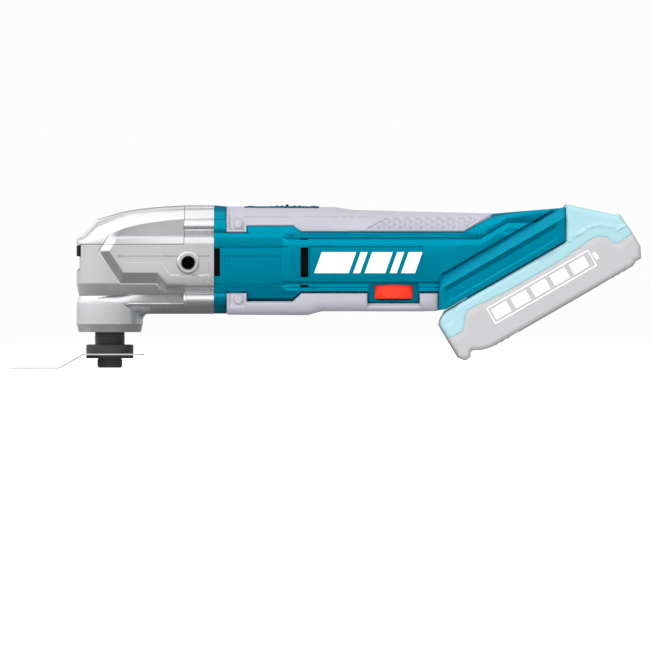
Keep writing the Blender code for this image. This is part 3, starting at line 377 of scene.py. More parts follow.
def add_loops(bm, loops, caps=True):
    rings = [[bm.verts.new(p) for p in loop] for loop in loops]
    count = len(rings[0])
    for first, second in zip(rings, rings[1:]):
        for i in range(count):
            j = (i + 1) % count
            bm.faces.new((first[i], first[j], second[j], second[i]))
    if caps:
        bm.faces.new(rings[0])
        bm.faces.new(rings[-1])
    return bm


def prism(outline, low, high, plane="XY", bm=None):
    order = PLANES[plane]
    loops = [[tuple((a, b, c)[i] for i in order) for a, b in outline] for c in (low, high)]
    return add_loops(bm or bmesh.new(), loops)


def box(x, y, z, bm=None):
    return prism(rect(*x, *y), *z, bm=bm)


def turned(profile, count=96, bm=None):
    """A (radius, height) profile turned about Z, closed through the axis where it ends on it."""
    bm = bm or bmesh.new()
    rows = []
    for radius, height in profile:
        around = circle(radius, count) if radius > 1e-6 else [(0.0, 0.0)]
        rows.append([bm.verts.new((x, y, height)) for x, y in around])
    pairs = list(zip(rows, rows[1:]))
    if len(rows[0]) > 1:
        pairs.append((rows[-1], rows[0]))
    for first, second in pairs:
        for i in range(count):
            j = (i + 1) % count
            corners = [row[k % len(row)] for row, k in ((first, i), (first, j), (second, j), (second, i))]
            unique = list(dict.fromkeys(corners))
            if len(unique) > 2:
                bm.faces.new(unique)
    return bm


def facing_out(bm):
    bmesh.ops.recalc_face_normals(bm, faces=bm.faces)
    return bm


def joined(bm, other):
    mesh = bpy.data.meshes.new("part")
    other.to_mesh(mesh)
    other.free()
    bm.from_mesh(mesh)
    bpy.data.meshes.remove(mesh)
    return bm


# ---------------------------------------------------------------- finishes


def linear(r, g, b):
    return [(c / 255 / 12.92) if c <= 10 else ((c / 255 + 0.055) / 1.055) ** 2.4 for c in (r, g, b)]


def map_range(tree, value, source, target):
    node = tree.nodes.new("ShaderNodeMapRange")
    for name, number in zip(("From Min", "From Max", "To Min", "To Max"), (*source, *target)):
        node.inputs[name].default_value = number
    tree.links.new(value, node.inputs["Value"])
    return node.outputs["Result"]


def calculate(tree, operation, *values):
    """A Math node on sockets and numbers."""
    node = tree.nodes.new("ShaderNodeMath")
    node.operation = operation
    for socket, value in zip(node.inputs, values):
        if isinstance(value, float):
            socket.default_value = value
        else:
            tree.links.new(value, socket)
    return node.outputs[0]


def finish(
    name, rgb, rough, metal=0.0, grain=0.5, mottle=0.05, bump=0.02,
    stretch=(1, 1, 1), specular=0.5, tinted=False,
):
    """A material whose colour, roughness and height all vary with noise that is fixed to the piece."""
    material = bpy.data.materials.new(name)
    material.use_nodes = True
    tree = material.node_tree
    nodes, links = tree.nodes, tree.links
    shader = nodes["Principled BSDF"]
    where = nodes.new("ShaderNodeMapping")
    where.inputs["Scale"].default_value = stretch
    links.new(nodes.new("ShaderNodeTexCoord").outputs["Object"], where.inputs["Vector"])

    def noise(size_mm, detail):
        node = nodes.new("ShaderNodeTexNoise")
        node.inputs["Scale"].default_value = 1000 / size_mm
        node.inputs["Detail"].default_value = detail
        links.new(where.outputs["Vector"], node.inputs["Vector"])
        return node.outputs["Fac"]

    fine, broad = noise(grain, 2.0), noise(24.0, 4.0)
    mix = nodes.new("ShaderNodeMix")
    mix.data_type = "RGBA"
    colour = linear(*rgb)
    mix.inputs["A"].default_value = (*[c * (1 - mottle) for c in colour], 1)
    mix.inputs["B"].default_value = (*[min(1.0, c * (1 + mottle)) for c in colour], 1)
    both = calculate(tree, "MULTIPLY_ADD", fine, 0.4, calculate(tree, "MULTIPLY", broad, 0.6))
    links.new(map_range(tree, both, (0.3, 0.7), (0.0, 1.0)), mix.inputs["Factor"])
    links.new(mix.outputs["Result"], shader.inputs["Base Color"])
    uneven = map_range(tree, broad, (0.3, 0.7), (rough - 0.04, rough + 0.05))
    links.new(uneven, shader.inputs["Roughness"])
    shader.inputs["Metallic"].default_value = metal
    shader.inputs["Specular IOR Level"].default_value = specular
    if tinted:
        shader.inputs["Specular Tint"].default_value = (*colour, 1)
    raised = nodes.new("ShaderNodeBump")
    raised.inputs["Strength"].default_value = 0.5
    raised.inputs["Distance"].default_value = bump * MM
    links.new(fine, raised.inputs["Height"])
    links.new(raised.outputs["Normal"], shader.inputs["Normal"])
    return material


CAST = finish("cast_alloy_paint", (233, 233, 235), 0.29, 0.88, grain=1.6, mottle=0.015, bump=0.0006)
TEAL = finish(
    "teal_nylon", (0, 138, 166), 0.31, 0.62, grain=0.35, mottle=0.03, bump=0.012, specular=0.3, tinted=True
)
TEAL_DEEP = finish("teal_nylon_deep", (0, 120, 146), 0.45, 0.3, grain=0.3, mottle=0.04, bump=0.03)
RUBBER = finish("grey_overmould", (168, 167, 177), 0.62, grain=0.3, mottle=0.03, bump=0.03)
ORANGE = finish("orange_wheel", (255, 54, 26), 0.38, grain=0.3, mottle=0.04, bump=0.012)
# Black nylon of the slider, and also painted shade behind the vents, in the head's seam and down the
# handle's hole.
BLACK = finish("black_nylon_and_painted_shade", (11, 11, 12), 0.6, grain=0.4, mottle=0.12, bump=0.02, specular=0.2)
LENS = finish("smoked_lens", (9, 9, 10), 0.6, grain=2.0, mottle=0.1, bump=0.002, specular=0.25)
OXIDE = finish("black_oxide_steel", (62, 62, 64), 0.45, 0.4, grain=0.6, mottle=0.12, bump=0.01)
BLADE = finish("ground_steel", (214, 215, 218), 0.36, 0.6, bump=0.006, stretch=(0.2, 3, 1))
STEEL = finish("bright_steel", (190, 192, 196), 0.28, 1.0, bump=0.006)
ZINC = finish("zinc_plated_steel", (150, 152, 156), 0.42, 1.0, grain=1.5, mottle=0.12, bump=0.01)
FERRITE = finish("ferrite", (58, 58, 62), 0.75, grain=0.5, mottle=0.15, bump=0.03)
COPPER = finish("copper", (200, 120, 72), 0.3, 1.0, grain=0.5, mottle=0.12, bump=0.02, stretch=(8, 1, 1))
CARBON = finish("carbon", (40, 40, 42), 0.6, grain=0.3, mottle=0.2, bump=0.03)
BOARD = finish("circuit_board", (24, 92, 52), 0.42, grain=1.2, mottle=0.25, bump=0.02)
CYAN = finish("pale_cyan_case", (156, 195, 204), 0.42, grain=0.4, mottle=0.025, bump=0.016)
GREY = finish("pale_grey_case", (177, 177, 179), 0.46, grain=0.4, mottle=0.025, bump=0.018)
WHITE = finish("white_print", (244, 246, 247), 0.5, grain=0.5, mottle=0.02, bump=0.004)
WRAP = finish("cell_wrap", (44, 106, 180), 0.35, grain=1.0, mottle=0.1, bump=0.01)

NODE_FINISH = {
    "cast_alloy": CAST, "teal_plastic": TEAL, "grey_rubber": RUBBER, "orange_plastic": ORANGE,
    "black_plastic": BLACK, "smoked_lens": LENS, "black_steel": OXIDE, "blade_steel": BLADE,
    "bright_steel": STEEL, "motor_steel": ZINC, "ferrite": FERRITE, "copper": COPPER, "carbon": CARBON,
    "circuit_board": BOARD, "pale_cyan_plastic": CYAN, "pale_grey_plastic": GREY, "cell_wrap": WRAP,
}


def dress_frame():
    """The frame's own nodes, which show where nothing finer stands for them."""
    for entry in RECORD["subparts"]:
        node = frame["nodes"][entry["node"]]
        node.data.materials.clear()
        node.data.materials.append(NODE_FINISH[entry["material_slot"]])


# ---------------------------------------------------------------- the outer form

NOSE_R, KEEL_Z = 19.3, -31.2  # the head's round nose, and its underside
BODY_HALF = 28.6  # half the body's width where the head meets it
MIDDLE_GAP = 0.12  # how far a half stays clear of the middle plane
TOP_LINE = [
    (-19.3, 12.0), (-18.2, 12.9), (-16.0, 14.0), (-8.3, 22.7), (-7.5, 23.8), (6.5, 28.0), (16.3, 29.8),
    (27.6, 31.0), (43.5, 32.0), (61.5, 32.0), (68.0, 31.4), (130.8, 31.0), (142.0, 29.4), (224.0, 27.2),
    (262.6, 30.3), (264.3, 30.3),
]
BOTTOM_LINE = [(61.5, -31.0), (115.0, -31.2), (123.0, -29.0), (193.0, -29.0)]
SIDE = [
    (61.5, BODY_HALF), (100.0, BODY_HALF), (116.0, 27.8), (150.0, 27.2), (192.0, 27.2), (230.0, 28.2),
    (264.3, 29.2),
]
SQUARE_UP = [(61.5, 2.7), (200.0, 2.7), (226.0, 6.0), (240.0, 11.0), (264.0, 11.0)]
SQUARE_DOWN = [(61.5, 3.3), (193.0, 3.3), (193.05, 8.0)]
MIDDLE = [(193.0, 0.0), (215.0, 6.0), (240.0, 18.0), (264.3, 28.0)]
UPPER_GRIP = [
    (68.2, 60.0), (68.2, 16.3), (79.7, 16.3), (79.7, 20.6), (107.0, 20.6), (111.6, 16.8), (205.8, 16.8),
    (224.0, 27.4), (224.0, 60.0),
]
LOWER_GRIP = [
    (68.2, -60.0), (68.2, -19.3), (79.9, -19.3), (79.9, -24.3), (106.6, -24.3), (111.7, -19.3),
    (149.9, -19.3), (149.9, -26.3), (180.1, -26.3), (180.1, -19.3), (190.9, -19.3), (190.9, -60.0),
]


def foot_z(x, height=0.0):
    return FOOT[1] + (x - FOOT[0]) * math.tan(TILT) + height / math.cos(TILT)


def foot_point(x, height):
    return (x, foot_z(x, height))


def form(x):
    """Half-width, top, middle, bottom and the two squarenesses of the body at X."""
    top, low = float(table(TOP_LINE, x)), float(table(BOTTOM_LINE, x))
    if x > 193:
        low = foot_z(x, 12.0)
    square = float(table(SQUARE_UP, x)), float(table(SQUARE_DOWN, x))
    return float(table(SIDE, x)), top, float(table(MIDDLE, x)), low, *square


# ---------------------------------------------------------------- gear head

CROWN = [
    (-19.3, 11.2), (-17.0, 11.6), (-14.2, 12.6), (-10.0, 16.8), (-5.9, 20.3), (3.0, 24.1),
    (12.9, 27.1), (28.0, 28.9), (43.9, 30.0), (61.5, 30.2),
]
ARC = [(0.3, 15.4), (9.0, 18.6), (16.0, 20.4), (23.5, 21.8), (33.0, 23.0), (43.6, 23.9), (61.5, 24.2)]
PANEL = [(0.35, 14.6), (-5.7, 5.2), (6.7, -13.3), (27.6, -13.3), (32.5, -19.1), (70.0, -19.1), (70.0, 14.6)]
HANDLE = (45.9, -1.5)
COVER_END, SEAM_Z, GAP = 43.6, 9.3, 0.26
RISE = 2.7  # how far the side panels stand out from the head


def head_section(x):
    """The left half of the head at X, from its spine over the dome, the facet and its ledge to the keel."""
    if x < 0:
        width = math.sqrt(max(1e-6, NOSE_R**2 - x * x))
    else:
        width = NOSE_R + (BODY_HALF - RISE - NOSE_R) * float(smooth(x / 52))
    top, crown = float(table(TOP_LINE, x)), float(table(CROWN, x))
    spine = min(9.0, 0.72 * width)

    def dome(z):
        t = np.clip((z - SEAM_Z) / (crown - SEAM_Z), 0, 1) * 0.94
        inner = spine - 0.45
        return inner + (width - inner) * (1 - t**2.3) ** (1 / 2.3)

    squeeze = min(1.0, (crown - SEAM_Z) / (float(table(CROWN, 0.3)) - SEAM_Z))
    arc_z = SEAM_Z + (float(table(ARC, x)) - SEAM_Z) * squeeze
    ledge_z, foot_of_ledge = SEAM_Z + 4.5 * squeeze, SEAM_Z + 2.3 * squeeze
    grown_in = min(1.0, max(0.0, (x - 0.3) / 6))
    corner = float(dome(arc_z))
    under = float(dome(ledge_z)) * (1 - grown_in) + (corner - 0.45) * grown_in
    outer = float(dome(foot_of_ledge)) * (1 - grown_in) + width * grown_in
    wall = top - crown
    points = [(0, top), (spine * 0.4, top - 0.02)]
    for inset, share in ((2.4, 0.04), (1.3, 0.17), (0.55, 0.34)):
        points.append((spine - inset, top - share * wall))
    points.append((spine - 0.45, crown + 0.1))
    down_dome = 1 - np.cos(np.linspace(0.12, math.pi / 2, 14))
    points += [(float(dome(z)), z) for z in crown + (arc_z - crown) * down_dome]
    facet = [(corner + (under - corner) * t, arc_z + (ledge_z - arc_z) * t) for t in np.linspace(0, 1, 12)]
    points += facet[1:]
    points += [((under + outer) / 2, (ledge_z + foot_of_ledge) / 2), (outer, foot_of_ledge)]
    points += [(width, z) for z in (SEAM_Z + 0.7, SEAM_Z, SEAM_Z - GAP)]
    points += [(width, (SEAM_Z - GAP) * (1 - t)) for t in np.linspace(0, 1, 14)[1:]]
    y, z = quarter(width, KEEL_Z, 3.6 + 2.4 * (1 - float(smooth((x + 4) / 20))), 220)
    y, z = y[::-1], z[::-1]
    shelf, under_points = -25.9, 24
    side_z = np.linspace(0, shelf, 40)[1:]
    points += [(float(np.interp(-v, -z, y)), v) for v in side_z]
    under_y, under_z = y[z < shelf - 0.3][::4], z[z < shelf - 0.3][::4]
    across = np.concatenate([under_y, np.repeat(0.0, under_points)])[:under_points]
    down = np.concatenate([under_z, np.repeat(KEEL_Z, under_points)])[:under_points]
    barrel = math.sqrt(max(0.0, NOSE_R**2 - x * x)) - 0.06
    free = 1 - (1 - float(smooth((x - 6) / 13))) * smooth((shelf - down) / 4.5)
    across = np.where(across > barrel, barrel + (across - barrel) * free, across)
    points += list(zip(across, down)) + [(0.0, KEEL_Z)]
    return [(x, -y, z) for y, z in points]


def head_relief():
    relief = Relief()

    def side_panel(x, z):
        """The raised side panel, with a wide bevel down its chevron and along its lower edge."""
        steep = line_side((6.7, -13.3), (-5.7, 5.2), x, z) * -1
        upper = line_side((-5.7, 5.2), (0.35, 14.6), x, z) * -1
        chevron = np.clip(np.minimum(steep / 4.8, upper / 4.6), 0, 1)
        slant = line_side((27.6, -13.3), (32.5, -19.1), x, z) / 4.4
        upper_half, lower_half = np.clip((z + 16.3) / 1.9, 0, 1), np.clip((z + 19.1) / 1.2, 0, 1)
        shelf = np.where(z > -16.3, 0.5 + 0.5 * upper_half, 0.5 * lower_half)
        low = np.maximum(np.clip((z + 13.3) / 6.0, 0, 1), np.clip(np.minimum(slant, shelf), 0, 1))
        return RISE * np.minimum(chevron, low) * np.clip((13.8 - z) / 2.2, 0, 1)

    inner = [(60.0, -7.2), (30.2, -7.2), (8.2, -7.2), (0.4, 4.7), (2.7, 13.5)]
    relief.add(side_panel, PANEL, *segments(inner))
    relief.lines += [
        [(30.2, -7.2), (35.2, -14.4)],
        [(35.2, -14.4), (61.4, -14.4)],
        [(33, -16.3), (61.4, -16.3)],
    ]

    def outline_groove(x, z):
        """A fine groove round the chevron."""
        away = reach(PANEL, x, z)
        return -0.35 * np.clip(1 - np.abs(away + 0.35) / 0.35, 0, 1) * (z > -19.0) * (x < 33) * (z < 14.5)

    edges = [segments(grown(PANEL[:5], away)[:5]) for away in (0.35, 0.7)]
    relief.add(outline_groove, *edges[0], *edges[1])
    relief.profile(-25.0, 45.0, [(-33, 0), (-25.9, 0), (-20.8, -1.35), (-13.4, 0), (20, 0)], ramp=0.01)
    relief.flute(-6.6, 43.3, -25.5, -19.8, 0.35, tip=18.0)
    relief.bump(43.5, 61.6, -26.7, -19.4, 4.3)
    relief.bump(43.5, 61.6, 16.0, 23.6, 3.4)
    recess = [(4.7, 2.6), (58.3, 2.6), (58.3, -8.7), (35.7, -8.7), (29.9, -1.5), (7.6, -1.5)]
    relief.step(recess, -0.6, 0.45)
    relief.lines.append(circle(6.4, 32, *HANDLE))
    return relief


HEAD_RELIEF = head_relief()


def head_height(x, z, y):
    """The head's relief, and the scoop across its nose that holds the lamp."""
    sides = np.clip((9.6 - np.abs(y)) / 1.6, 0, 1) * (x < -5)
    scoop = np.clip((z + 6.0) / 1.1, 0, 1) * (z < SEAM_Z - 0.05) * sides
    return HEAD_RELIEF.at(x, z) - 1.6 * scoop


def make_head():
    xs = [-NOSE_R * math.cos(a) for a in np.linspace(0, math.pi / 2, 44)]
    xs += [*np.linspace(0.6, 18.3, 30), *np.linspace(18.5, COVER_END, 42)]
    xs += [*np.linspace(COVER_END + GAP, 60.85, 29)]
    whole = grid_mesh(np.array([head_section(x) for x in xs]))
    score(whole, HEAD_RELIEF.lines + [[(-30, z), (-4, z)] for z in (-6.0, -4.9)])
    cover = whole.copy()
    trim(cover, lambda x, z: (z > SEAM_Z) & (x < COVER_END))
    raise_skin(cover, head_height, 2.0, weld=True)
    cover = mirrored(cover, True)
    piece("head_cover_skin", cover, CAST, "tool_body", "head_top_cover", sharp=24, skin=True)
    trim(whole, lambda x, z: (z < SEAM_Z - GAP) | (x > COVER_END + GAP))
    trim(whole, lambda x, z: np.hypot(x - HANDLE[0], z - HANDLE[1]) > 6.38)
    raise_skin(whole, head_height, 2.0, weld=True)
    body = mirrored(whole, True)
    joined(body, spindle_barrel())
    for side in (-1, 1):
        joined(body, handle_boss(side))
    piece("gear_head_skin", body, CAST, "tool_body", "gear_head_housing", sharp=24, skin=True)
    make_seam_backing()
    # A black floor down the handle's hole: painted shade for the dark inside of the hole.
    floor = turned([(3.95, 17.0), (0, 17.0), (0, 16.8), (3.95, 16.8)], 40)
    on_side(floor)
    piece("handle_hole_painted_shade_floor", mirrored(floor, True), BLACK, "tool_body")


def make_seam_backing():
    """Black strips inside the head, so that nothing shows through the seam under the cover; they are
    painted shade for the dark hollow behind the seam.
    """
    widths = [(x, head_section(x)[-60][1]) for x in np.linspace(-17, 60, 40)]
    backing = box((-17.0, -15.6), (-6.5, 6.5), (SEAM_Z - 0.8, SEAM_Z + 0.6))
    for side in (-1, 1):
        strip = [(x, -side * (y + 2.3)) for x, y in widths]
        strip += [(x, -side * (y + 3.6)) for x, y in reversed(widths)]
        prism(strip, SEAM_Z - 0.8, SEAM_Z + 0.6, bm=backing)
    # Painted shade: the black strips make the seam gap read dark.
    piece("head_seam_painted_shade", backing, BLACK, "tool_body")


def on_side(bm):
    """Turns a piece made about Z so that it looks out of the left side at the handle's hole."""
    bmesh.ops.rotate(bm, verts=bm.verts, cent=(0, 0, 0), matrix=Matrix.Rotation(math.pi / 2, 3, "X"))
    bmesh.ops.translate(bm, verts=bm.verts, vec=(HANDLE[0], 0, HANDLE[1]))


def spindle_barrel():
    """The round nose below the head, its chamfer, its lower face, and the fillet into the underside."""
    bm = bmesh.new()
    fillet = [(19.32, -31.0 - 3.6 * t) for t in (0, 0.15, 0.3, 0.5, 0.75, 1)]
    upper = [(19.2, -24.5), (19.32, -26.2), *fillet, (19.3, -37.1)]
    lower = [(19.3, -37.1), (18.1, -41.8), (13.4, -41.8), (13.2, -41.2), (13.2, -36.0)]
    for profile in (upper, lower):
        rows = []
        for radius, z in profile:
            row = []
            for i in range(120):
                a = math.tau * i / 120
                up = min(1.0, max(0.0, (z + 34.6) / 3.6)) if radius > 19.2 else 0.0
                behind = float(smooth((radius * math.cos(a) - 16.5) / 2.3))
                out = 3.6 * (1 - math.sqrt(1 - up * up)) * behind
                row.append(((radius + out) * math.cos(a), (radius + out * 0.3) * math.sin(a), z))
            rows.append(row)
        add_loops(bm, rows, caps=False)
    return facing_out(bm)


def handle_boss(side):
    """The ring round the side handle's hole, and the hole's thread."""
    profile = [(3.9, 17.0)]
    for i in range(12):
        profile += [(3.9, 17.2 + i), (4.2, 17.7 + i)]
    profile += [(3.9, 29.1), (4.4, 29.9), (5.7, 29.9), (6.5, 29.1), (6.65, 22.0)]
    bm = turned(profile, 56)
    on_side(bm)
    facing_out(bm)
    return mirrored(bm, False) if side > 0 else bm


def make_lamp():
    """The work lamp's window across the nose, with a chamfer along its edges."""
    bm = bmesh.new()
    rows, steps = [], 30
    for z, r in ((2.3, 17.6), (2.3, 19.1), (2.8, 19.4), (8.4, 19.4), (8.9, 19.1), (8.9, 17.6)):
        rows.append([(x, y, z) for x, y in arc(0, 0, r, 156, 204, steps)])
    verts = [[bm.verts.new(p) for p in row] for row in rows]
    for first, second in zip(verts, verts[1:]):
        for i in range(steps):
            bm.faces.new((first[i], first[i + 1], second[i + 1], second[i]))
    for column in (0, steps):
        bm.faces.new([row[column] for row in verts])
    piece("lamp_lens", bm, LENS, "tool_body", "lamp_window", sharp=30)


# ---------------------------------------------------------------- body shells and grips

VENTS = [
    rect(61.0, 64.4, -9.4, 7.0), rect(111.0, 115.6, -9.9, 7.3), rect(111.0, 115.6, 11.6, 12.8),
    rect(111.0, 115.6, -15.9, -14.4),
]
BEZEL, DIAL_WINDOW = rounded(150.4, 179.6, -25.9, -13.6, 1.2), rounded(154.2, 176.2, -22.9, -14.6, 1.0)
BLANK = rounded(152.0, 178.0, -24.3, -15.2, 0.8)


# Heights against Z on the shell's sides, in front of and behind the step at the middle vents.
FRONT_SIDE = [
    (-40, 0), (-16.6, -0.6), (-15.9, -1.8), (-14.4, -2.1), (-13.9, -1.1), (7.4, -1.1), (7.9, -0.3),
    (13.2, 0.5), (16.0, 0), (40, 0),
]
BACK_SIDE = [
    (-40, 0), (-18.4, -0.2), (-17.8, 1.3), (-15.2, 0.0), (-13.7, -0.6), (-12.8, -0.4), (-12.3, 1.5),
    (8.9, 1.5), (11.9, 0.5), (12.8, -0.9), (13.2, -0.9), (13.5, 0.0), (14.4, 0.1), (14.9, 0.5), (40, 0),
]


def shell_relief():
    relief = Relief()

    def ring(x, z):
        """The ring at the front, which stands out from the shell behind it."""
        return -0.9 * (x > 68.05) * np.clip((np.abs(z) - 15.6) / 0.6, 0, 1)

    relief.add(ring, *[[(x, z), (x, 2.5 * z)] for x in (67.8, 68.05) for z in (16, -16)])

    def round_grips(x, z):
        """A sunk border round the grips."""
        near = np.maximum(reach(UPPER_GRIP, x, z), reach(LOWER_GRIP, x, z))
        return -0.6 * np.clip(1 + near / 0.8, 0, 1)

    relief.add(round_grips, grown(UPPER_GRIP, 0.8), grown(LOWER_GRIP, 0.8))
    relief.profile(58.0, 104.4, FRONT_SIDE, ramp=4.4)
    back = list(reversed(BACK_SIDE))

    def raised_side(x, z):
        """The raised side behind the front section, whose upper border turns up behind the grip."""
        rise = table([(215.2, 0), (231.0, 9.6)], x)
        straightened = np.where(z > 8.9, np.maximum(8.9, z - rise), z)
        return table(BACK_SIDE, straightened) * np.clip((x - 99.9) / 4.4, 0, 1)

    borders = [[(99.9, z), (215.2, z)] for z, _ in back] + [[(x, -17), (x, 15)] for x in (99.9, 104.3)]
    borders += [[(215.2, z), (231.0, z + 9.6)] for z, _ in back if 8 < z < 15]
    borders += [[(231.0, z + 9.6), (264.0, z + 9.6)] for z, _ in back if 8 < z < 15]
    relief.add(raised_side, *borders)
    relief.step(rect(115.9, 182.0, -10.9, 7.9), -0.8, 0.4)
    relief.step(rect(66.6, 99.6, -5.1, 2.7), -0.5, 0.35)
    relief.bump(60.0, 68.05, 16.0, 23.5, 2.0)
    relief.bump(60.0, 68.05, -26.7, -19.4, 2.2)
    relief.lines.append(BEZEL)

    relief.add(lambda x, z: 1.1 * np.clip((z - 23.2) / 6, 0, 1) * np.clip((x - 226) / 8, 0, 1))

    def valley(x, z):
        """The groove where the side meets the foot's shoulder."""
        away = (z - foot_z(x, 18.6)) * math.cos(TILT)
        return -1.5 * np.clip(1 - np.abs(away) / 0.9, 0, 1) * (x > 193.1)

    relief.add(valley, *[[foot_point(193.1, h), foot_point(264.0, h)] for h in (17.7, 18.6, 19.5)])
    return relief


def make_shells():
    relief = shell_relief()
    xs = [61.0, *np.linspace(61.6, 192.9, 225), *np.linspace(193.1, 264.0, 122), 264.3]
    rows = loft_half(xs, form, 62, 62)
    rows[..., 1] = np.minimum(rows[..., 1], -MIDDLE_GAP)
    ends = [rows[-1].copy() for _ in range(5)]
    middle = rows[-1].mean(axis=0)
    shapes = ((0.99, 0.25), (0.975, 0.35), (0.7, 0.35), (0.35, 0.35), (0.02, 0.35))
    for end, (shrink, back) in zip(ends, shapes):
        end[:, 2] = middle[2] + (end[:, 2] - middle[2]) * shrink
        end[:, 1] = np.minimum(end[:, 1] * shrink, -MIDDLE_GAP)
        end[:, 0] += back
    bm = grid_mesh(np.concatenate([rows, np.array(ends)]))
    inner = [grown(UPPER_GRIP, -0.9), grown(LOWER_GRIP, -0.9)]
    score(bm, relief.lines + [UPPER_GRIP, LOWER_GRIP] + inner + VENTS)
    trim(bm, lambda x, z: np.all([reach(outline, x, z) < 0 for outline in (*inner, *VENTS, BEZEL)], axis=0))
    raise_skin(bm, lambda x, z, y: relief.at(x, z), 2.6, sided=True)
    joined(bm, foot_half())
    right = joined(mirrored(bm, False), mirrored(dial_blank(), False))
    joined(bm, dial_bezel())
    for side, half in (("left", bm), ("right", right)):
        piece(f"{side}_shell_skin", half, TEAL, "tool_body", f"{side}_body_shell", sharp=26, skin=True)


def bezel_face(z):
    """Where the bezel's face is in Y: it leans in towards the bottom."""
    return -25.6 - 0.33 * (z + 13.6)


def on_face(outline, sunk=0.0):
    return [(x, bezel_face(z) + sunk, z) for x, z in outline]


def at_back(outline):
    return [(x, -17.0, z) for x, z in outline]


def bezel_rim():
    """The loops of the frame's rim, from its back to the edge of its face."""
    return [at_back(BEZEL), on_face(BEZEL, 0.1), on_face(grown(BEZEL, -0.1))]


def dial_blank():
    """The same frame with a sunk blank in place of the window, for the side that has no dial."""
    loops = [*bezel_rim(), on_face(BLANK), on_face(grown(BLANK, -0.3), 0.5)]
    return facing_out(add_loops(bmesh.new(), loops))


def dial_bezel():
    """A frame round the speed dial, with a window in it."""
    window = [on_face(grown(DIAL_WINDOW, 0.5)), on_face(DIAL_WINDOW, 0.6), at_back(DIAL_WINDOW)]
    return facing_out(add_loops(bmesh.new(), bezel_rim() + window, caps=False))


def foot_half():
    """The left half of the foot: a rib on its shoulder, a framed flank, and the rail channel below."""
    profile = [
        (MIDDLE_GAP, 11.0), (25.9, 11.0), (25.9, 3.1), (22.1, 3.1), (22.1, 0.0), (37.2, 0.0), (37.7, 0.5),
        (37.7, 2.9), (37.2, 3.8), (37.2, 6.5), (37.1, 9.0), (36.4, 9.5), (37.6, 11.9), (37.3, 12.4),
        (34.2, 14.9), (31.2, 17.2), (30.3, 17.5), (29.0, 16.6), (20.0, 16.6), (MIDDLE_GAP, 16.6),
    ]
    xs = [191.1, 191.3, 191.7, 192.4, 193.4, 194.4, *np.linspace(196.0, 262.4, 46), 263.4, 264.2, 264.5]
    rows = []
    for x in xs:
        inset = 3.0 * (1 - math.sqrt(max(0.0, 1 - max(0.0, (194.1 - x) / 3.0) ** 2)))
        inset += max(0.0, x - 263.4) * 0.9
        row = []
        for y, h in profile:
            if 3 < h < 12 and y > 30:
                faded = min(1.0, max(0.0, (x - 194.4) / 3), max(0.0, (261.5 - x) / 3))
                y = 37.7 - (37.7 - y) * faded
            across = y - inset if y > 30 else y - 0.3 * inset if y > 26.5 else y
            lowered = h - 0.6 * inset if h > 15 else h
            row.append((x, -across, max(foot_z(x, lowered), -28.7 + 0.05 * h)))
        rows.append(row)
    return facing_out(add_loops(bmesh.new(), rows))


KNURL = [(148.3, 17.9), (160.6, 24.6), (217.0, 25.6), (206.6, 17.9)]
SCREW_X, GRIP_SCREWS = 75.0, {"upper": 21.3, "lower": -22.6}  # the shell screws' heads, and their Z


def grip_form(x):
    """The body's form, squarer below so that the lower grip's side stands nearly upright."""
    width, top, middle, low, above, _ = form(x)
    return width, top, middle, low, above, 8.0


def grip_height(outline, x, z):
    """The grip's rolled edge, its screw's pocket, and the cove and knurled field of the upper one."""
    edge = reach(outline, x, z)
    upper = outline is UPPER_GRIP
    radius = 0.35 if upper else 1.2
    roll = radius * (1 - np.sqrt(np.clip(1 - np.clip(1 - edge / radius, 0, 1) ** 2, 0, 1)))
    height = 0.4 - roll + (0.85 * np.clip(1 - edge / 1.7, 0, 1) if upper else 0.2)
    for at_z in GRIP_SCREWS.values():
        pocket = [(69.3, -4), (69.3, 5.6), (76.2, 5.6), (78.7, 1), (78.7, -4)]
        deep = reach([(a, at_z + b) for a, b in pocket], x, z)
        height = height - 1.5 * np.clip(deep / 1.2, 0, 1)
        around = np.hypot(x - SCREW_X, z - at_z)
        height = height + 1.3 * np.clip((2.9 - around) / 0.4, 0, 1)
    if upper:
        cove = np.clip((24.9 - z) / 0.5, 0, 1) * np.clip((x - 76) / 4, 0, 1) * smooth((150 - x) / 20)
        height = height + table([(16.8, -0.4), (18.2, -1.6), (19.4, -2.1), (24.4, 0)], z) * cove
        inside = np.clip(reach(KNURL, x, z) / 0.5, 0, 1)
        a, b = x / 6.2 + z / 3.5, x / 6.2 - z / 3.5
        height = height - inside * (0.9 - 1.3 * np.abs(np.sin(math.pi * a) * np.sin(math.pi * b)))
    else:
        height = height + 1.5 * np.clip((-20.5 - z) / 8, 0, 1)
    return height


def refine(bm, outline, cuts):
    """Divides the faces inside the outline more finely."""
    faces = list(bm.faces)
    at = centres(faces)
    inside = reach(outline, at[:, 0], at[:, 2]) > -0.3
    edges = dict.fromkeys(e for f, chosen in zip(faces, inside) if chosen for e in f.edges)
    bmesh.ops.subdivide_edges(bm, edges=list(edges), cuts=cuts, use_grid_fill=True)


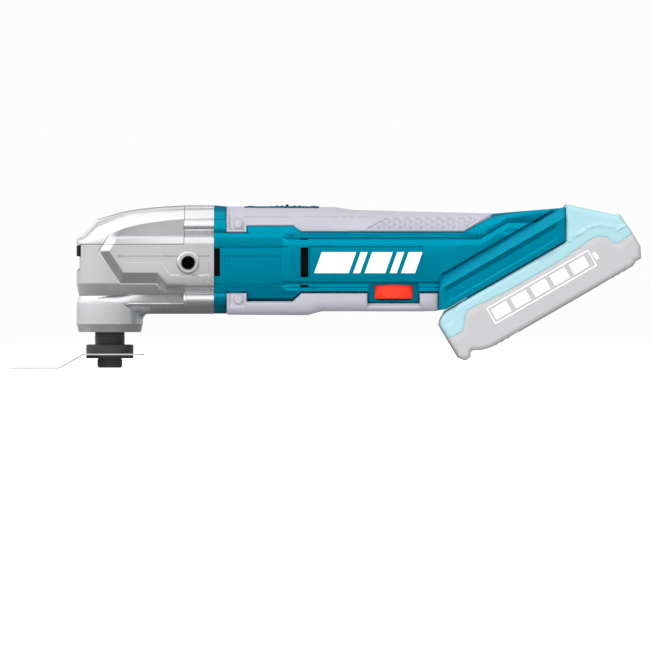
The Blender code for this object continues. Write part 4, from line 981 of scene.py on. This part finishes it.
def grip_half(name, outline):
    """The left half of a grip. The upper one is open under the switch plate, and fine where knurled."""
    upper = outline is UPPER_GRIP
    low, high, cell = 67.0, 225.0 if upper else 192.0, 0.6
    rows = loft_half(np.linspace(low, high, round((high - low) / cell)), grip_form, 74, 74)
    rows = rows[:, :70] if upper else rows[:, 80:]
    rows[..., 1] = np.minimum(rows[..., 1], -MIDDLE_GAP)
    bm = grid_mesh(rows)
    lines = [outline, *[grown(outline, -d) for d in (0.4, 1.0, 1.7)]]
    lines.append(circle(2.9, 24, SCREW_X, GRIP_SCREWS[name]))
    if upper:
        lines += [KNURL, *[[(79, z), (148, z)] for z in (24.4, 24.9)]]
    score(bm, lines)
    trim(bm, lambda x, z: reach(outline, x, z) > 0)
    if upper:
        middles = [(f, f.calc_center_median()) for f in bm.faces]
        under_plate = [f for f, at in middles if 78.3 < at.x < 122.4 and at.y > -11.3]
        bmesh.ops.delete(bm, geom=under_plate, context="FACES")
        refine(bm, KNURL, 2)
    return raise_skin(bm, lambda x, z, y: grip_height(outline, x, z), 2.4, sided=True)


def make_grips():
    for name, outline in (("upper", UPPER_GRIP), ("lower", LOWER_GRIP)):
        bm = grip_half(name, outline)
        for side, mesh in (("left", bm), ("right", mirrored(bm, False))):
            node = f"{name}_grip_{side}"
            piece(f"{node}_skin", mesh, RUBBER, "tool_body", node, sharp=40, skin=True)


def make_body_trim():
    """Black backing behind the vents, which is painted shade for the dark inside behind them, and a plain
    slanted mark in the side panel on each side.
    """
    backing = bmesh.new()
    for side in (-1, 1):
        reach_y = sorted((side * 21.5, side * 22.5))
        for x0, x1, z0, z1 in ((60.6, 65.2, -10.5, 8.0), (110.0, 116.8, -17.0, 14.0)):
            box((x0, x1), reach_y, (z0, z1), bm=backing)
    # Painted shade: black boxes that make the vent slots read dark.
    piece("vent_painted_shade_backing", backing, BLACK, "tool_body")
    for side, name in ((-1, "left"), (1, "right")):
        bm = bmesh.new()
        x = 119.0
        for width in (20.0, 4.0, 12.0, 4.0, 8.0):
            outline = [(x, -7.6), (x + width, -7.6), (x + width + 4.4, 4.6), (x + 4.4, 4.6)]
            x += width + 2.6
            loops = []
            for lift in (0.4, 0.85):
                loops.append([(a, side * (float(table(SIDE, a)) + lift), b) for a, b in outline])
            add_loops(bm, loops)
        piece(f"side_mark_{name}", bm, WHITE, "tool_body")


# ---------------------------------------------------------------- controls


def make_switch():
    """The plate on top with its moulded bars, and the ribbed slider in it."""
    plate = box((78.6, 122.1), (-11.0, 11.0), (28.0, 31.4))
    for x0, x1 in ((80.5, 84.0), (117.0, 120.5)):
        for y in (-6.0, -2.0, 2.0, 6.0):
            box((x0, x1), (y - 0.6, y + 0.6), (31.3, 31.75), bm=plate)
    piece("switch_plate_skin", plate, TEAL_DEEP, "tool_body", bevel=0.35)
    slider = box((93.0, 115.0), (-7.0, 7.0), (29.5, 31.55))
    for x, top in ((96.2, 31.85), (99.1, 31.85), (102.0, 32.5), (106.3, 31.85), (109.2, 31.85)):
        prism([(x, 31.0), (x + 2.4, 31.0), (x + 2.0, top), (x + 0.6, top)], -6.0, 6.0, "XZ", bm=slider)
    piece("switch_slider_skin", slider, BLACK, "slide_switch", "switch_slider", bevel=0.25)


def make_dial():
    """The speed dial, with grooves round its rim."""
    cx, cy = 164.7, -8.0
    profile = [
        (3.3, -21.4), (14.5, -21.4), (15.0, -22.4), (17.4, -22.4), (18.0, -21.6), (18.2, -18.3),
        (18.0, -15.0), (17.4, -14.2), (15.0, -14.2), (14.5, -18.2), (3.3, -18.2),
    ]
    dial = turned(profile, 160)
    for v in dial.verts:
        radius = math.hypot(v.co.x, v.co.y)
        if radius > 17.9:
            groove = 0.2 * (math.cos(56 * math.atan2(v.co.y, v.co.x)) > 0.3)
            v.co.x *= 1 - groove / radius
            v.co.y *= 1 - groove / radius
    bmesh.ops.translate(dial, verts=dial.verts, vec=(cx, cy, 0))
    piece("speed_dial_skin", dial, ORANGE, "speed_dial_wheel", "speed_dial", sharp=25)


# ---------------------------------------------------------------- spindle and accessory


def make_spindle():
    neck = [
        (0, -38.0), (8.2, -38.0), (8.6, -39.0), (8.6, -48.6), (8.9, -48.95), (13.2, -48.95), (13.8, -49.5),
        (13.8, -54.3), (0, -54.3),
    ]
    spindle = turned(neck)
    for i in range(2):
        turned([(8.65, -44.3 - i * 1.6), (8.75, -44.6 - i * 1.6), (8.65, -44.9 - i * 1.6)], 96, bm=spindle)
    piece("spindle_neck_skin", spindle, OXIDE, "oscillating_spindle")
    disc = [(3.3, -55.2), (13.4, -55.2), (13.8, -55.5), (13.8, -56.6), (13.3, -57.05), (3.3, -57.05)]
    washer = turned(disc)
    piece("clamp_washer_skin", washer, OXIDE, "oscillating_spindle", "clamp_washer")


def make_bolt():
    """The clamp bolt's knurled head, with a hexagon socket."""
    rows = []
    for r, z in ((7.0, -57.1), (7.0, -61.9), (6.75, -62.4), (6.3, -62.55), (3.4, -62.55)):
        rows.append([(x, y, z) for x, y in circle(r, 48)])
    rows.append([(x, y, -62.3) for x, y in hexagon(2.9)])
    rows.append([(x, y, -59.2) for x, y in hexagon(2.9)])
    head = add_loops(bmesh.new(), rows)
    knurl = bmesh.new()
    for x, y in circle(7.0, 36):
        prism(arc(x, y, 0.28, 0, 300, 5), -61.6, -57.8, bm=knurl)
    joined(head, knurl)
    piece("clamp_bolt_head", head, OXIDE, "oscillating_spindle", sharp=30)


def hexagon(r):
    """A hexagon with as many points as the ring round it, for a socket."""
    corners = circle(r, 6)
    points = []
    for a, b in zip(corners, corners[1:] + corners[:1]):
        points += [(a[0] + (b[0] - a[0]) * i / 8, a[1] + (b[1] - a[1]) * i / 8) for i in range(8)]
    return points


def make_blade():
    """A cranked blade with ground teeth and a bevel behind them."""
    half, front, back, corner, teeth = 17.0, -59.3, 19.7, 4.0, 20
    inner = back - corner
    outline = [(inner, -half), *arc(inner, corner - half, corner, -60, 0, 6)]
    outline += arc(inner, half - corner, corner, 0, 90, 8)
    for i in range(teeth):
        y = half - i * 2 * half / teeth
        outline += [(front + 1.4, y), (front, y - half / teeth)]
    outline.append((front + 1.4, -half))
    bm = prism(outline, -55.15, -54.35)
    for x in (-57.0, -52.0, -47.0, -42.0, -37.0, -30.4, -29.4, -16.0, -15.0):
        everything = bm.verts[:] + bm.edges[:] + bm.faces[:]
        bmesh.ops.bisect_plane(bm, geom=everything, plane_co=(x, 0, 0), plane_no=(1, 0, 0))
    for v in bm.verts:
        if v.co.x < -56.9 and v.co.z > -55.0:
            v.co.z -= 0.5 * min(1.0, (-56.9 - v.co.x) / 2.4)
        v.co.z -= float(table([(-30.4, 8.0), (-29.4, 7.7), (-16.0, 0.3), (-15.0, 0.0)], v.co.x))
    piece("saw_blade_skin", bm, BLADE, "oscillating_spindle", "saw_blade", sharp=12)


# ---------------------------------------------------------------- battery pack


def to_pack(x, z):
    """A point of the tool's side view in the pack's frame."""
    dx, dz = x - FOOT[0], z - FOOT[1]
    return dx * math.cos(TILT) + dz * math.sin(TILT), dz * math.cos(TILT) - dx * math.sin(TILT)


PACK_OUTLINE = [
    to_pack(*p)
    for p in (
        (192.3, -34.0), (195.1, -29.3), (197.8, -27.9), (264.6, 10.8), (264.9, 32.4), (294.1, 26.0),
        (295.3, 27.0), (296.4, 26.0), (302.4, 17.4), (308.0, 8.0), (308.4, 0.9), (305.4, -0.6),
        (303.7, -3.4), (221.5, -50.6), (216.0, -52.2), (210.8, -52.3), (209.7, -53.6), (209.6, -56.2),
        (206.6, -58.3), (202.8, -56.7), (191.5, -37.6),
    )
]
PACK_BORDER = [
    to_pack(*p)
    for p in (
        (180.0, -55.0), (197.6, -45.2), (204.9, -41.4), (206.0, -38.5), (206.6, -32.0), (208.6, -28.8),
        (229.4, -19.0), (261.3, -0.8), (280.3, 12.6), (284.0, 13.6), (289.6, 12.8), (292.3, 10.0),
        (294.6, 9.4), (297.2, 11.0), (302.4, 14.7), (325.0, 28.0),
    )
]
PACK_HALF = 38.0


def pack_half(name, material, side, relief, replaced):
    """The pack above or below its border, with rounded edges and a relief on both faces."""
    cell, outline = 0.9, PACK_OUTLINE
    xs, zs = [p[0] for p in outline], [p[1] for p in outline]
    x = np.arange(min(xs) - cell, max(xs) + 2 * cell, cell)
    z = np.arange(min(zs) - cell, max(zs) + 2 * cell, cell)
    bm = grid_mesh(np.array([[(a, 0.0, b) for b in z] for a in x]))
    loops = [outline, *[grown(outline, -d) for d in (0.25, 0.9, 1.9, 3.0)]]
    score(bm, loops + segments(PACK_BORDER))
    trim(bm, lambda a, b: (reach(outline, a, b) > 0) & (side * border_distance(a, b) > 0))
    verts = list(bm.verts)
    where = np.array([v.co for v in verts])
    edge = np.clip(reach(outline, where[:, 0], where[:, 2]), 0, 3.0)
    drop = 3.0 - np.sqrt(np.clip(9.0 - (3.0 - edge) ** 2, 0, None))
    y = -(PACK_HALF - drop) - relief(where[:, 0], where[:, 2])
    rim = [e for e in bm.edges if e.is_boundary]
    made = bmesh.ops.extrude_edge_only(bm, edges=rim)["geom"]
    for v, across in zip(verts, y):
        v.co.y = across
    for v in made:
        if isinstance(v, bmesh.types.BMVert):
            v.co.y = 0.0
    bmesh.ops.recalc_face_normals(bm, faces=bm.faces)
    piece(name, mirrored(bm, True), material, "battery_pack", replaced, at=TO_TOOL, sharp=24)


def border_distance(x, z):
    """How far above the line between the pack's two halves, negative below."""
    best = np.min([segment_distance(a, b, x, z) for a, b in segments(PACK_BORDER)], axis=0)
    above = reach(PACK_BORDER + [(200.0, 90.0), (-90.0, 90.0)], x, z) > 0
    return np.where(above, best, -best)


def upper_relief(x, z):
    """A groove along the border, then a ridge and a step down above it."""
    away = border_distance(x, z)
    ridge = 0.7 * np.clip(1 - np.abs(away - 6.6) / 0.9, 0, 1) * (x > 60)
    return ridge - 0.8 * np.clip(away - 6.6, 0, 1) - 0.5 * np.clip(1 - away / 0.5, 0, 1)


def lower_relief(x, z):
    """A groove along the border, then a step up below it."""
    away = -border_distance(x, z)
    return 0.35 * np.clip((away - 2.0) / 0.6, 0, 1) - 0.5 * np.clip(1 - away / 0.5, 0, 1)


def make_pack():
    pack_half("pack_upper_skin", CYAN, 1, upper_relief, "battery_upper_case")
    pack_half("pack_lower_skin", GREY, -1, lower_relief, "battery_lower_case")
    rail = [(-21.6, -2.0), (21.6, -2.0), (21.6, 3.6), (25.4, 3.6)]
    rail += [(25.4, 10.0), (-25.4, 10.0), (-25.4, 3.6), (-21.6, 3.6)]
    piece("pack_rail", prism(rail, 14.0, 84.0, "YZ"), CYAN, "battery_pack", at=TO_TOOL, bevel=0.6)
    underside = box((30.0, 84.0), (-24.0, 24.0), (-32.45, -31.0))
    for x in (14.0, 18.0, 22.0, 92.0, 96.0, 100.0):
        box((x, x + 1.6), (-27.0, 27.0), (-32.5, -31.0), bm=underside)
    piece("pack_underside_ribs", underside, GREY, "battery_pack", at=TO_TOOL, bevel=0.3)
    slots = bmesh.new()
    for y in (-13.0, 13.0):
        box((13.9, 22.0), (y - 1.4, y + 1.4), (1.5, 10.05), bm=slots)
    piece("pack_terminal_slots", slots, BLACK, "battery_pack", at=TO_TOOL)
    for side, name in ((-1, "left"), (1, "right")):
        gauge = charge_gauge(side)
        piece(f"pack_mark_{name}", gauge, WHITE, "battery_pack", at=TO_TOOL)


def make_latch():
    """The release button, with three ridges down its slope."""
    latch = prism([(92.8, 8.0), (103.0, 4.8), (103.0, 6.0), (92.8, 15.3)], -11.0, 11.0, "XZ")
    for i in range(3):
        x = 95.0 + i * 2.4
        z = 15.5 - (x - 92.8) * 0.911
        ridge = [(x, z - 1.0), (x + 1.2, z - 2.2), (x + 1.3, z - 0.9), (x + 0.3, z + 0.1)]
        prism(ridge, -8.0, 8.0, "XZ", bm=latch)
    piece("battery_latch_skin", latch, GREY, "release_button", "battery_latch", at=TO_TOOL, bevel=0.4)


def charge_gauge(side):
    """A plain charge gauge: an outlined bar with cells in it."""
    bm = bmesh.new()
    y = sorted((side * (PACK_HALF + 0.3), side * (PACK_HALF + 0.42)))
    shapes = [rect(20, 88, -11.6, -11.0), rect(20, 88, -21.6, -21.0)]
    shapes += [rect(20, 20.6, -21, -11.6), rect(87.4, 88, -21, -11.6)]
    shapes += [rect(22 + i * 13, 32 + i * 13, -19.6, -13.0) for i in range(5)]
    shapes += [rect(89, 91, -18.5, -14.2)]
    for outline in shapes:
        prism(outline, *y, "XZ", bm=bm)
    return bm


# ---------------------------------------------------------------- stage


SKY = (  # from straight down to straight up
    (0.0, 0.12), (0.3, 0.13), (0.42, 0.3), (0.48, 0.6), (0.54, 0.85), (0.66, 1.55), (0.8, 1.6), (1.0, 1.38),
)
SKY_STRENGTH = (0.97, 0.53)  # at the end of the tool's head, and at its pack's
DARK_PATCH = (0.0, 0.82, 0.57)  # the way to a dark patch in the sky behind the tool, which edges mirror
PICTURE_WIDTH, LENS_MM, SENSOR_MM = 0.377, 600, 36  # the width in metres is at the tool's near side


def add_to_stage(obj):
    bpy.context.scene.collection.objects.link(obj)


def lamp(name, at, size, power):
    """A soft lamp that looks at the tool and isn't seen in its reflections."""
    data = bpy.data.lights.new(name, "AREA")
    data.shape = "RECTANGLE"
    data.size, data.size_y = size
    data.energy = power
    obj = bpy.data.objects.new(name, data)
    obj.location = at
    obj.rotation_euler = (Vector((0, 0, 0.05)) - Vector(at)).to_track_quat("-Z", "Y").to_euler()
    obj.visible_glossy = False
    add_to_stage(obj)


def make_floor():
    mesh = bpy.data.meshes.new("floor")
    mesh.from_pydata([(-9, -9, 0), (9, -9, 0), (9, 9, 0), (-9, 9, 0)], [], [(0, 1, 2, 3)])
    floor = bpy.data.objects.new("floor", mesh)
    floor.location = (0, 0, -0.0006)
    pale = finish("pale_floor", (246, 246, 246), 0.6, grain=3.0, mottle=0.01, bump=0.01)
    shader = pale.node_tree.nodes["Principled BSDF"]
    shader.inputs["Emission Color"].default_value = (1, 1, 1, 1)
    shader.inputs["Emission Strength"].default_value = 0.45
    pale.cycles.emission_sampling = "NONE"
    mesh.materials.append(pale)
    for flag in ("visible_diffuse", "visible_glossy", "visible_shadow"):
        setattr(floor, flag, False)
    add_to_stage(floor)


def make_backdrop():
    """A white dome that only the camera sees."""
    dome = bmesh.new()
    bmesh.ops.create_uvsphere(dome, u_segments=48, v_segments=24, radius=8.5)
    mesh = bpy.data.meshes.new("backdrop")
    dome.to_mesh(mesh)
    dome.free()
    white = bpy.data.materials.new("backdrop_white")
    white.use_nodes = True
    tree = white.node_tree
    glow = tree.nodes.new("ShaderNodeEmission")
    glow.inputs["Color"].default_value = (0.98, 0.98, 0.98, 1)
    tree.links.new(glow.outputs[0], tree.nodes["Material Output"].inputs["Surface"])
    white.cycles.emission_sampling = "NONE"
    mesh.materials.append(white)
    backdrop = bpy.data.objects.new("backdrop", mesh)
    for flag in ("visible_diffuse", "visible_glossy", "visible_transmission", "visible_shadow"):
        setattr(backdrop, flag, False)
    add_to_stage(backdrop)


def make_sky():
    """A smooth sky, bright above, dim below and towards the pack, with a dark patch behind the tool."""
    world = bpy.data.worlds.new("studio")
    bpy.context.scene.world = world
    world.use_nodes = True
    tree = world.node_tree
    nodes, links = tree.nodes, tree.links
    way = nodes.new("ShaderNodeTexCoord").outputs["Generated"]
    split = nodes.new("ShaderNodeSeparateXYZ")
    links.new(way, split.inputs[0])
    ramp = nodes.new("ShaderNodeValToRGB")
    links.new(map_range(tree, split.outputs["Z"], (-1.0, 1.0), (0.0, 1.0)), ramp.inputs["Fac"])
    elements = ramp.color_ramp.elements
    for i, (position, value) in enumerate(SKY):
        element = elements[i] if i < 2 else elements.new(position)
        element.position = position
        element.color = (value, value, value, 1)
    links.new(ramp.outputs["Color"], nodes["Background"].inputs["Color"])
    toward = nodes.new("ShaderNodeVectorMath")
    toward.operation = "DOT_PRODUCT"
    toward.inputs[1].default_value = DARK_PATCH
    links.new(way, toward.inputs[0])
    across = map_range(tree, split.outputs["X"], (-1.0, 1.0), SKY_STRENGTH)
    behind = map_range(tree, toward.outputs["Value"], (0.83, 0.95), (1.0, 0.14))
    links.new(calculate(tree, "MULTIPLY", across, behind), nodes["Background"].inputs["Strength"])


def make_camera():
    """A long lens square on to the left side, at the height of the middle of the picture."""
    data = bpy.data.cameras.new("camera")
    data.lens = LENS_MM
    data.sensor_width = SENSOR_MM
    data.clip_end = 50
    camera = bpy.data.objects.new("camera", data)
    camera.location = (0.00096, -0.025 - PICTURE_WIDTH * LENS_MM / SENSOR_MM, 0.0255)
    camera.rotation_euler = (math.radians(90), 0, 0)
    bpy.context.scene.collection.objects.link(camera)
    bpy.context.scene.camera = camera


def make_stage():
    make_floor()
    make_sky()
    make_backdrop()
    lamp("key", (-0.85, -1.2, 1.85), (1.6, 0.8), 26)
    lamp("under", (0.2, -2.0, -0.8), (1.6, 0.8), 36)
    lamp("rim", (0.3, 1.6, 1.3), (1.6, 0.6), 14)
    bpy.context.scene.view_settings.view_transform = "Standard"
    make_camera()


dress_frame()
make_head()
make_lamp()
make_shells()
make_grips()
make_body_trim()
make_switch()
make_dial()
make_spindle()
make_bolt()
make_blade()
make_pack()
make_latch()
make_stage()
